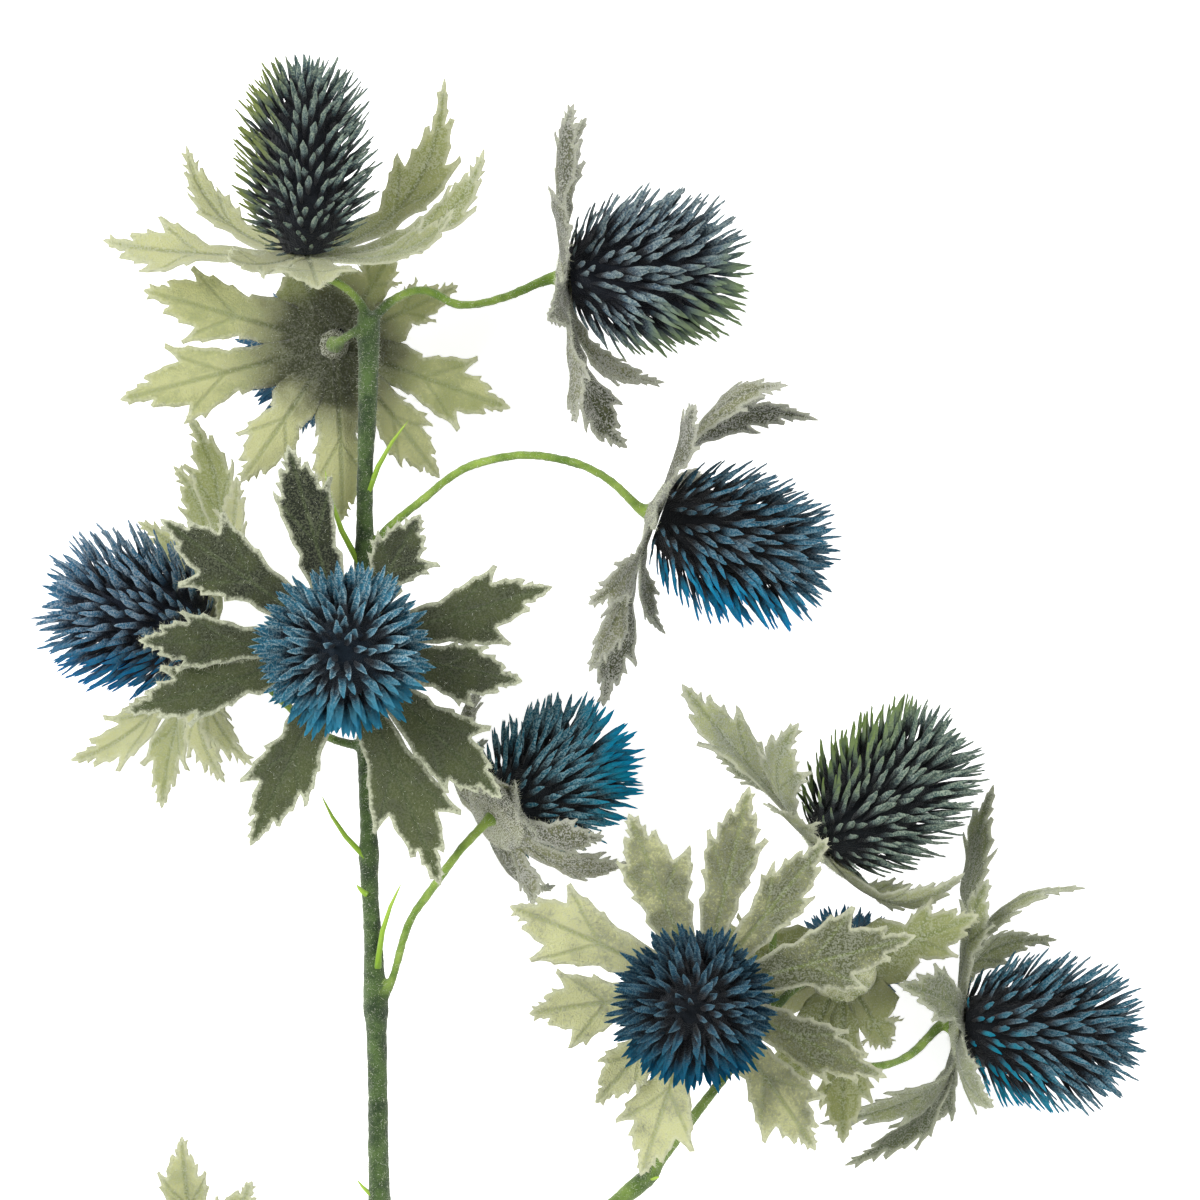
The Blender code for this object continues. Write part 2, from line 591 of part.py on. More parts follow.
def main():
    clear_scene()
    pieces = new_collection("sea_holly_stem")
    helpers = new_collection("helpers", helpers=True)
    spray = bpy.data.objects.new("spray", None)
    pieces.objects.link(spray)
    stem = build_stem(pieces, helpers)
    stem.parent = spray
    for number, spec in enumerate(HEADS, 1):
        build_head(number, spec, pieces, spray)


main()
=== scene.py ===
import json
import math
import random

import bmesh
import bpy
import numpy as np
from mathutils import Matrix, Vector, kdtree, noise
from mathutils.geometry import delaunay_2d_cdt

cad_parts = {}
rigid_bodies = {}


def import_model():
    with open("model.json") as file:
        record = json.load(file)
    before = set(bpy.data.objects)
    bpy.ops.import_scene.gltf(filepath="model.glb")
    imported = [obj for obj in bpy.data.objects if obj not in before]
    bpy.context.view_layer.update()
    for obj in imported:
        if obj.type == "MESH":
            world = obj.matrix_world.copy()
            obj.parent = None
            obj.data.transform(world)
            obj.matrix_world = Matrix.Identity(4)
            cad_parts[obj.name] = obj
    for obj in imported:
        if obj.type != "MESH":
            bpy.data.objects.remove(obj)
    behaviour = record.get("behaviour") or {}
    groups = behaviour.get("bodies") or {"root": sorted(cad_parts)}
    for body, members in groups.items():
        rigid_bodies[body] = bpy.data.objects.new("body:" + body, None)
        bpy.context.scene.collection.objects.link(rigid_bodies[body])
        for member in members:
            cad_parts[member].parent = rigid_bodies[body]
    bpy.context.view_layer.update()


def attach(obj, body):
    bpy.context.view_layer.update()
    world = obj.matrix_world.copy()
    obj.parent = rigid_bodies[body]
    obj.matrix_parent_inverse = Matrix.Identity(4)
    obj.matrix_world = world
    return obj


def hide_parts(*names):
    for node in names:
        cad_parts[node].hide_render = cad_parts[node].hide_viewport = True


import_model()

# The table: a plain white sheet that glows a little, under wide soft lamps, as in the photo's bright set.
# The camera hangs 1.35 m over the flower heads and looks straight down.
MM = 0.001
CENTRE = Vector((-1.5, -76.55, 0.0))
CAMERA_HEIGHT = 1380.0
VIEW_WIDTH = 228.0
HEADS_HEIGHT = 30.0
SENSOR_WIDTH = 36.0


def layout(x, y, z):
    """A point of the photo's layout in millimetres, in metres from the object's origin."""
    return (Vector((x, y, z)) - CENTRE) * MM


def tint(red, green, blue):
    """A screen colour of 0 to 255 as a shader's colour."""
    levels = (red / 255, green / 255, blue / 255)
    return tuple(c / 12.92 if c <= 10 / 255 else ((c + 0.055) / 1.055) ** 2.4 for c in levels)


camera = bpy.data.objects.new("camera", bpy.data.cameras.new("camera"))
bpy.context.scene.collection.objects.link(camera)
bpy.context.scene.camera = camera
camera.location = layout(0, 0, CAMERA_HEIGHT)
camera.data.sensor_width = SENSOR_WIDTH
camera.data.lens = SENSOR_WIDTH * (CAMERA_HEIGHT - HEADS_HEIGHT) / VIEW_WIDTH
camera.data.clip_end = 20.0

TABLE_REACH = 3.0
TABLE_DROP = 0.0002
sheet = bmesh.new()
bmesh.ops.create_grid(sheet, x_segments=1, y_segments=1, size=TABLE_REACH)
bmesh.ops.translate(sheet, vec=(0, 0, -TABLE_DROP), verts=sheet.verts)
table_mesh = bpy.data.meshes.new("table")
sheet.to_mesh(table_mesh)
sheet.free()
table = bpy.data.objects.new("table", table_mesh)
bpy.context.scene.collection.objects.link(table)

for name, place, size, power in (
    ("lamp_left", (-900, 500, 1300), 1.0, 25.0),
    ("lamp_right", (1000, 300, 1200), 1.2, 12.0),
    ("lamp_low", (-100, -1300, 900), 1.2, 8.0),
):
    lamp = bpy.data.objects.new(name, bpy.data.lights.new(name, "AREA"))
    bpy.context.scene.collection.objects.link(lamp)
    lamp.data.shape = "DISK"
    lamp.data.size = size
    lamp.data.energy = power
    lamp.location = Vector(place) * MM
    lamp.rotation_mode = "QUATERNION"
    lamp.rotation_quaternion = (-lamp.location).to_track_quat("-Z", "Y")

sky = bpy.data.worlds.new("sky")
sky.use_nodes = True
sky.node_tree.nodes["Background"].inputs["Color"].default_value = (1, 1, 1, 1)
sky.node_tree.nodes["Background"].inputs["Strength"].default_value = 0.52
bpy.context.scene.world = sky
bpy.context.scene.view_settings.view_transform = "Standard"


class Wire:
    """A socket of a node tree. Sums written on it add Math nodes."""

    def __init__(self, tree, socket):
        self.tree = tree
        self.socket = socket

    def node(self, kind, settings=None, values=None, output=0):
        """Adds a node with its settings first and then its sockets' values or links, and gives one output."""
        return add_node(self.tree, kind, settings, values, output)

    def math(self, operation, first, second=0.0):
        return self.node("ShaderNodeMath", {"operation": operation}, {0: first, 1: second})

    def __add__(self, other):
        return self.math("ADD", self, other)

    def __radd__(self, other):
        return self.math("ADD", other, self)

    def __sub__(self, other):
        return self.math("SUBTRACT", self, other)

    def __rsub__(self, other):
        return self.math("SUBTRACT", other, self)

    def __mul__(self, other):
        return self.math("MULTIPLY", self, other)

    def __rmul__(self, other):
        return self.math("MULTIPLY", other, self)

    def __truediv__(self, other):
        return self.math("DIVIDE", self, other)

    def __pow__(self, other):
        return self.math("POWER", self, other)

    def __abs__(self):
        return self.math("ABSOLUTE", self)

    def step(self, low, high):
        """0 where this is at low, 1 where it is at high, and smooth between."""
        ends = {"From Min": low, "From Max": high, "To Min": 0.0, "To Max": 1.0, "Value": self}
        return self.node("ShaderNodeMapRange", {"interpolation_type": "SMOOTHSTEP"}, ends)


def add_node(tree, kind, settings=None, values=None, output=0):
    made = tree.nodes.new(kind)
    for name, value in (settings or {}).items():
        if name == "curve":
            line = made.mapping.curves[0]
            for index, (x, y) in enumerate(value):
                point = line.points[index] if index < 2 else line.points.new(x, y)
                point.location = (x, y)
            made.mapping.update()
        else:
            setattr(made, name, value)
    for name, value in (values or {}).items():
        if isinstance(value, Wire):
            tree.links.new(value.socket, made.inputs[name])
        else:
            made.inputs[name].default_value = value
    return Wire(tree, made.outputs[output])


def mix(first, second, factor):
    """Two colours mixed by a factor."""
    tree = factor.tree
    made = tree.nodes.new("ShaderNodeMix")
    made.data_type = "RGBA"
    colours = [s for s in made.inputs if s.type == "RGBA"]
    for socket, value in zip((made.inputs[0], *colours), (factor, first, second)):
        if isinstance(value, Wire):
            tree.links.new(value.socket, socket)
        else:
            socket.default_value = (*value, 1.0)
    return Wire(tree, next(s for s in made.outputs if s.type == "RGBA"))


def new_finish(name):
    """An empty material with its tree."""
    made = bpy.data.materials.new(name)
    made.use_nodes = True
    made.node_tree.nodes.clear()
    return made, made.node_tree


def speckle(tree, scale, detail=2.0):
    """Noise of that many cells a metre on the object's own coordinates."""
    place = add_node(tree, "ShaderNodeTexCoord", output="Object")
    values = {"Vector": place, "Scale": scale, "Detail": detail}
    return add_node(tree, "ShaderNodeTexNoise", None, values, "Fac")


def attribute(tree, name):
    return add_node(tree, "ShaderNodeAttribute", {"attribute_name": name}, None, "Fac")


def close_finish(tree, colour, roughness, bump, height, glow, glow_share, sheen=0.0):
    """A flocked surface: a matt shader with a little light let through it in the glow colour.

    The height is a pattern and how far it stands out.
    """
    pattern, distance = height
    relief = {"Strength": bump, "Distance": distance, "Height": pattern}
    normal = add_node(tree, "ShaderNodeBump", None, relief)
    values = {"Base Color": colour, "Roughness": roughness, "Specular IOR Level": 0.25, "Sheen Weight": sheen}
    surface = add_node(tree, "ShaderNodeBsdfPrincipled", None, {**values, "Normal": normal})
    through = add_node(tree, "ShaderNodeBsdfTranslucent", None, {"Color": (*glow, 1.0)})
    mixed = tree.nodes.new("ShaderNodeMixShader")
    if isinstance(glow_share, Wire):
        tree.links.new(glow_share.socket, mixed.inputs[0])
    else:
        mixed.inputs[0].default_value = glow_share
    tree.links.new(surface.socket, mixed.inputs[1])
    tree.links.new(through.socket, mixed.inputs[2])
    end = tree.nodes.new("ShaderNodeOutputMaterial")
    tree.links.new(mixed.outputs[0], end.inputs["Surface"])


table_finish, tree = new_finish("table_white")
grain = speckle(tree, 900.0)
white = add_node(
    tree,
    "ShaderNodeBsdfPrincipled",
    None,
    {
        "Base Color": mix((0.90, 0.90, 0.90), (0.93, 0.93, 0.93), grain),
        "Roughness": 0.9,
        "Specular IOR Level": 0.1,
        "Emission Color": (1, 1, 1, 1),
        "Emission Strength": 0.6,
    },
)
end = tree.nodes.new("ShaderNodeOutputMaterial")
tree.links.new(white.socket, end.inputs["Surface"])
table_mesh.materials.append(table_finish)


# The stem: one thick main stem, its right-hand branch and the thin flower stalks, green wood under fine pale
# down. They grow out of each other at swollen nodes, so they are one skin. Each point is x, y, z and radius.
MAIN_STEM = (
    (-40.0, -256.0, 1.9, 2.15),
    (-40.0, -243.0, 1.9, 2.15),
    (-40.6, -215.0, 5.0, 2.15),
    (-41.4, -185.0, 8.6, 2.10),
    (-41.7, -164.0, 11.2, 2.15),
    (-41.8, -158.0, 12.0, 2.60),
    (-41.8, -152.0, 12.7, 2.45),
    (-42.0, -146.0, 13.4, 2.10),
    (-42.2, -120.0, 16.6, 2.05),
    (-42.3, -115.0, 17.2, 2.20),
    (-42.4, -110.0, 17.8, 2.05),
    (-42.7, -84.0, 20.8, 2.00),
    (-42.8, -78.5, 21.5, 2.45),
    (-43.1, -72.0, 22.2, 2.15),
    (-43.4, -64.0, 23.3, 1.75),
    (-44.0, -54.0, 24.6, 1.70),
    (-44.0, -48.5, 25.3, 2.05),
    (-44.1, -43.0, 26.0, 1.65),
    (-44.4, -28.0, 28.0, 1.90),
    (-44.5, -19.0, 29.2, 1.70),
    (-44.7, 0.0, 31.8, 1.55),
    (-44.8, 6.5, 32.9, 1.95),
    (-44.6, 13.0, 34.0, 1.70),
    (-44.5, 22.8, 35.6, 1.55),
    (-44.0, 34.0, 37.6, 1.80),
    (-43.7, 44.0, 39.4, 1.95),
    (-43.6, 50.5, 40.5, 2.25),
    (-43.6, 54.0, 41.0, 2.05),
)
BRANCH = (
    (-41.8, -158.0, 12.0, 1.80),
    (-36.0, -149.8, 13.4, 1.70),
    (-30.0, -143.4, 14.8, 1.50),
    (-20.0, -134.0, 16.5, 1.45),
    (-8.0, -124.0, 19.0, 1.40),
    (2.0, -116.0, 21.4, 1.45),
    (6.5, -112.4, 22.8, 1.85),
    (9.5, -109.6, 24.0, 1.75),
    (12.0, -106.0, 25.8, 1.15),
    (18.8, -96.8, 30.6, 1.05),
    (26.4, -86.3, 36.0, 1.05),
    (30.5, -80.3, 38.6, 1.25),
    (33.0, -76.5, 40.0, 1.30),
)
STALKS = {
    1: ((-43.6, 53.0, 41.0), (-46.0, 57.0, 43.0), (-50.0, 60.0, 44.0)),
    2: ((-43.6, 52.0, 41.0), (-46.2, 50.6, 41.6)),
    3: (
        (-43.6, 52.4, 40.6), (-38.4, 57.0, 40.8), (-33.0, 58.4, 39.4), (-26.6, 55.8, 37.0),
        (-18.6, 57.2, 33.6),
    ),
    4: (
        (-44.6, 6.0, 33.0), (-41.0, 12.6, 34.6), (-33.8, 18.8, 36.0), (-25.5, 24.9, 36.8),
        (-15.0, 27.4, 36.4), (-4.8, 26.0, 34.0), (2.0, 22.6, 31.4),
    ),
    5: ((-44.4, -28.0, 28.0), (-52.0, -26.0, 25.6), (-61.0, -19.0, 22.8)),
    6: ((-44.5, -22.0, 28.8), (-46.2, -19.0, 33.0), (-47.4, -13.0, 37.0)),
    7: (
        (-42.6, -79.0, 21.4), (-39.6, -72.2, 23.6), (-36.4, -61.6, 27.6), (-31.4, -54.2, 30.6),
        (-26.6, -47.6, 33.0),
    ),
    8: ((8.5, -110.5, 24.0), (9.2, -103.5, 28.0), (11.0, -92.0, 34.0), (15.0, -81.0, 39.0)),
    9: ((31.8, -78.2, 39.4), (32.6, -68.0, 38.6), (33.6, -58.0, 33.0)),
    10: ((31.0, -79.0, 39.0), (40.0, -85.0, 41.0), (51.0, -88.0, 39.0), (58.5, -86.5, 32.0)),
    11: ((32.4, -77.4, 39.6), (37.0, -73.0, 41.4), (43.0, -69.4, 41.6)),
    12: ((-42.0, -152.0, 13.0), (-50.0, -149.0, 14.6), (-61.0, -142.0, 18.0), (-70.0, -135.2, 22.0)),
}
# Where each head sits on its stalk, the way it faces, its length and its width
HEADS = {
    1: ((-55.1, 64.5, 45.0), (0.0, 0.96, 0.26), 40.0, 28.0),
    2: ((-50.4, 48.3, 34.3), (-0.26, -0.06, -0.96), 36.5, 28.0),
    3: ((-6.8, 61.2, 30.0), (0.995, 0.08, 0.03), 35.0, 30.0),
    4: ((10.3, 16.5, 29.5), (0.939, -0.344, 0.0), 36.5, 29.0),
    5: ((-75.1, -6.3, 25.0), (-0.92, 0.25, 0.30), 32.5, 31.0),
    6: ((-47.9, -8.9, 44.0), (0.02, -0.03, 1.0), 34.0, 32.5),
    7: ((-19.6, -41.0, 29.5), (0.70, 0.44, -0.56), 33.0, 31.0),
    8: ((19.0, -73.5, 47.0), (-0.10, -0.11, 0.99), 34.0, 32.0),
    9: ((42.2, -47.7, 27.0), (0.74, 0.66, 0.10), 36.0, 30.0),
    10: ((68.0, -81.3, 25.0), (0.995, -0.06, 0.0), 36.5, 30.0),
    11: ((46.0, -70.0, 35.4), (0.05, 0.0, -1.0), 36.5, 27.5),
    12: ((-76.0, -131.1, 28.0), (-0.45, -0.25, 0.86), 35.0, 30.0),
}
STALK_RADIUS = 0.85
STALK_FOOT = 1.25
STALK_NECK = 1.3
NECK_LENGTH = 2.4
SEAT_RADIUS = 1.9
BRACT_SEAT = 0.65
# How lime green the branch and each stalk are, from the main stem's dark green at 0
BRANCH_LIME = 0.45
STALK_LIME = {
    1: 0.7, 2: 0.5, 3: 0.8, 4: 1.0, 5: 0.7, 6: 0.5, 7: 0.85, 8: 0.5, 9: 0.6, 10: 0.7, 11: 0.6, 12: 0.8,
}
ROUTE_STEPS = 4
FADE_STEPS = 6
SKIN_STEP = 0.00042
# Ripples of the wood: how many a metre, and their height in metres
STEM_RIPPLES = ((900, 0.00010), (250, 0.00012))


def smooth_route(points):
    """Rows of numbers along a smooth curve through the given rows."""
    given = [np.array(point, float) for point in points]
    rows = [given[0] * 2 - given[1], *given, given[-1] * 2 - given[-2]]
    made = []
    for a, b, c, d in zip(rows, rows[1:], rows[2:], rows[3:]):
        for step in range(ROUTE_STEPS):
            t = step / ROUTE_STEPS
            square = 2 * a - 5 * b + 4 * c - d
            cube = 3 * b - a - 3 * c + d
            made.append(0.5 * (2 * b + (c - a) * t + square * t**2 + cube * t**3))
    made.append(rows[-2])
    return made


def object_from(name, mesh):
    made = bpy.data.objects.new(name, mesh)
    bpy.context.scene.collection.objects.link(made)
    return made


def settle(guide, name):
    """The object as its modifiers make it, as a plain mesh of its own."""
    bpy.context.view_layer.update()
    mesh = bpy.data.meshes.new_from_object(guide.evaluated_get(bpy.context.evaluated_depsgraph_get()))
    mesh.name = name
    bpy.data.objects.remove(guide)
    return object_from(name, mesh)


stem_curve = bpy.data.curves.new("stem_routes", "CURVE")
stem_curve.dimensions = "3D"
stem_curve.bevel_depth = MM
stem_curve.bevel_resolution = 4
stem_curve.use_fill_caps = True
lime_points = []
routes = [(MAIN_STEM, 0.0), (BRANCH, BRANCH_LIME)]
for number, stalk in STALKS.items():
    base, axis, _, _ = HEADS[number]
    seat = Vector(base) - Vector(axis).normalized() * BRACT_SEAT
    neck = Vector(base) - Vector(axis).normalized() * (BRACT_SEAT + NECK_LENGTH)
    foot = (*stalk[0], STALK_RADIUS * STALK_FOOT)
    middle = [(*point, STALK_RADIUS) for point in stalk[1:]]
    ends = [(*neck, STALK_RADIUS * STALK_NECK), (*seat, SEAT_RADIUS)]
    routes.append(([foot, *middle, *ends], STALK_LIME[number]))
for points, lime in routes:
    rows = smooth_route(points)
    spline = stem_curve.splines.new("POLY")
    spline.points.add(len(rows) - 1)
    for index, (target, (x, y, z, radius)) in enumerate(zip(spline.points, rows)):
        target.co = (*layout(x, y, z), 1.0)
        target.radius = radius
        fade = min(1.0, index / FADE_STEPS) if lime else 1.0
        lime_points.append((layout(x, y, z), lime * fade, radius * MM))
stem = settle(object_from("stem_routes", stem_curve), "stem_skin")
skin = stem.modifiers.new("skin", "REMESH")
skin.mode = "VOXEL"
skin.voxel_size = SKIN_STEP
skin.use_smooth_shade = True
soften = stem.modifiers.new("soften", "SMOOTH")
soften.factor = 0.5
soften.iterations = 4
stem = settle(stem, "flocked_stem")
nearest = kdtree.KDTree(len(lime_points))
for index, (place, _, _) in enumerate(lime_points):
    nearest.insert(place, index)
nearest.balance()
limes = []
places = []
for place, normal in [(vertex.co.copy(), vertex.normal.copy()) for vertex in stem.data.vertices]:
    found = nearest.find_n(place, 2)
    weights = [1 / (max(distance - lime_points[index][2], 0) + 0.0003) for _, index, distance in found]
    limes.append(sum(w * lime_points[index][1] for w, (_, index, _) in zip(weights, found)) / sum(weights))
    place += normal * sum(noise.noise(place * cells) * height for cells, height in STEM_RIPPLES)
    places.extend((place.x, place.y, max(place.z, 0.0)))
stem.data.vertices.foreach_set("co", places)
stem.data.attributes.new("lime", "FLOAT", "POINT").data.foreach_set("value", limes)
stem.data.polygons.foreach_set("use_smooth", [True] * len(stem.data.polygons))

stem_finish, tree = new_finish("stem_down")
lime = attribute(tree, "lime")
coarse = speckle(tree, 260.0, 3.0)
fine = speckle(tree, 4200.0, 4.0)
wood = mix(tint(34, 54, 26), tint(76, 100, 50), (coarse * 0.7 + fine * 0.3).step(0.35, 0.62))
young = mix(tint(96, 128, 40), tint(146, 172, 76), coarse.step(0.3, 0.7))
colour = mix(wood, young, lime.step(0.1, 0.8))
colour = mix(colour, tint(196, 206, 176), fine.step(0.55, 0.75) * 0.4)
close_finish(tree, colour, 0.85, 0.8, (fine, 0.0004), tint(150, 180, 90), 0.08, 0.3)
stem.data.materials.append(stem_finish)
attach(stem, "root")
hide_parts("stem")

# The small pointed blades at the nodes: thin lime-green leaves, one to each node, folded along the middle.
AWLS = (
    ((-44.4, 18.5, 35.0), (-36.0, 34.0, 40.0), 1.15),
    ((-45.0, 6.0, 33.0), (-52.0, 25.0, 38.5), 1.25),
    ((-44.2, -49.5, 25.5), (-53.0, -37.0, 29.0), 1.15),
    ((-42.4, -70.0, 24.0), (-37.6, -53.6, 29.5), 1.2),
    ((9.0, -111.0, 24.0), (11.4, -110.0, 26.0), 1.0),
    ((-44.5, -56.0, 26.0), (-46.4, -54.2, 26.8), 1.1),
    ((-42.4, -115.0, 17.5), (-46.6, -111.0, 18.5), 1.0),
)
AWL_SECTIONS = ((0.0, 1.25), (0.12, 1.0), (0.4, 0.85), (0.7, 0.6), (0.9, 0.3))
AWL_FOLD = ((0.5, 0.0), (0.25, 0.95), (-0.35, 0.55), (-0.5, 0.0), (-0.35, -0.55), (0.25, -0.95))
AWL_BOW = 0.06


def join_rings(work, rings):
    """Faces from each ring of points to the next. A ring of one point closes an end."""
    for ring, following in zip(rings, rings[1:]):
        sides = max(len(ring), len(following))
        for step in range(sides):
            after = (step + 1) % sides
            corners = [ring[step % len(ring)], ring[after % len(ring)]]
            corners += [following[after % len(following)], following[step % len(following)]]
            work.faces.new(list(dict.fromkeys(corners)))


def mesh_from(work, name, smooth=False):
    """The worked faces as a mesh, turned to face out."""
    bmesh.ops.recalc_face_normals(work, faces=work.faces)
    for face in work.faces:
        face.smooth = smooth
    mesh = bpy.data.meshes.new(name)
    work.to_mesh(mesh)
    work.free()
    return mesh


blades = bmesh.new()
shade_layer = blades.verts.layers.float.new("along")
for root, tip, half_width in AWLS:
    start, end_point = layout(*root), layout(*tip)
    along = end_point - start
    turn = along.to_track_quat("Z", "Y")
    bow = turn @ Vector((AWL_BOW * along.length, 0, 0))
    rings = []
    for share, width in AWL_SECTIONS:
        middle = start + along * share + bow * math.sin(math.pi * share)
        ring = []
        for x, y in AWL_FOLD:
            vertex = blades.verts.new(middle + turn @ (Vector((x, y, 0)) * half_width * width * MM))
            vertex[shade_layer] = share
            ring.append(vertex)
        rings.append(ring)
    point = blades.verts.new(end_point)
    point[shade_layer] = 1.0
    blades.faces.new(rings[0][::-1])
    join_rings(blades, [*rings, [point]])
awl_mesh = mesh_from(blades, "node_blades", smooth=True)
awls = object_from("node_blades", awl_mesh)
awl_finish, tree = new_finish("node_blade_lime")
along = attribute(tree, "along")
fine = speckle(tree, 2200.0, 3.0)
colour = mix(tint(138, 178, 50), tint(190, 218, 96), along)
colour = mix(colour, tint(225, 232, 200), fine.step(0.58, 0.78) * 0.35)
close_finish(tree, colour, 0.8, 0.5, (fine, 0.0003), tint(170, 205, 90), 0.3, 0.2)
awl_mesh.materials.append(awl_finish)
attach(awls, "root")

# The bracts: under each head a whorl of felt-like leaves, cut into lobes and small sharp teeth, each with a
# darker midrib and a vein into each lobe. They are joined round a small cup and covered in pale down.
HUB_RADIUS = 6.2
# How far out the bracts stay joined, and the two whorls that are joined further out
WEB_RADIUS = 8.6
WEB_RADII = {2: 13.5, 11: 11.5}
# The side of a whorl whose bracts are painted darker, as painted shade
SHADY_SIDES = {1: (0.8, 0.3, 0.0), 8: (0.8, 0.6, 0.0), 6: (-0.2, 1.0, 0.0), 2: (0.2, 0.4, 0.0)}
BRACT_FOLD = 0.22
BRACT_FOOT = -0.12
LEAF_THICKNESS = 0.00046
LEAF_MESH_STEP = 0.85
LEAF_WAVE = 0.9
# The distance from the rim that is written where bracts are joined, so that no rim shows there
JOINED_MARGIN = 4.0
VEIN_START = 0.36
LOBE_AT = 0.68
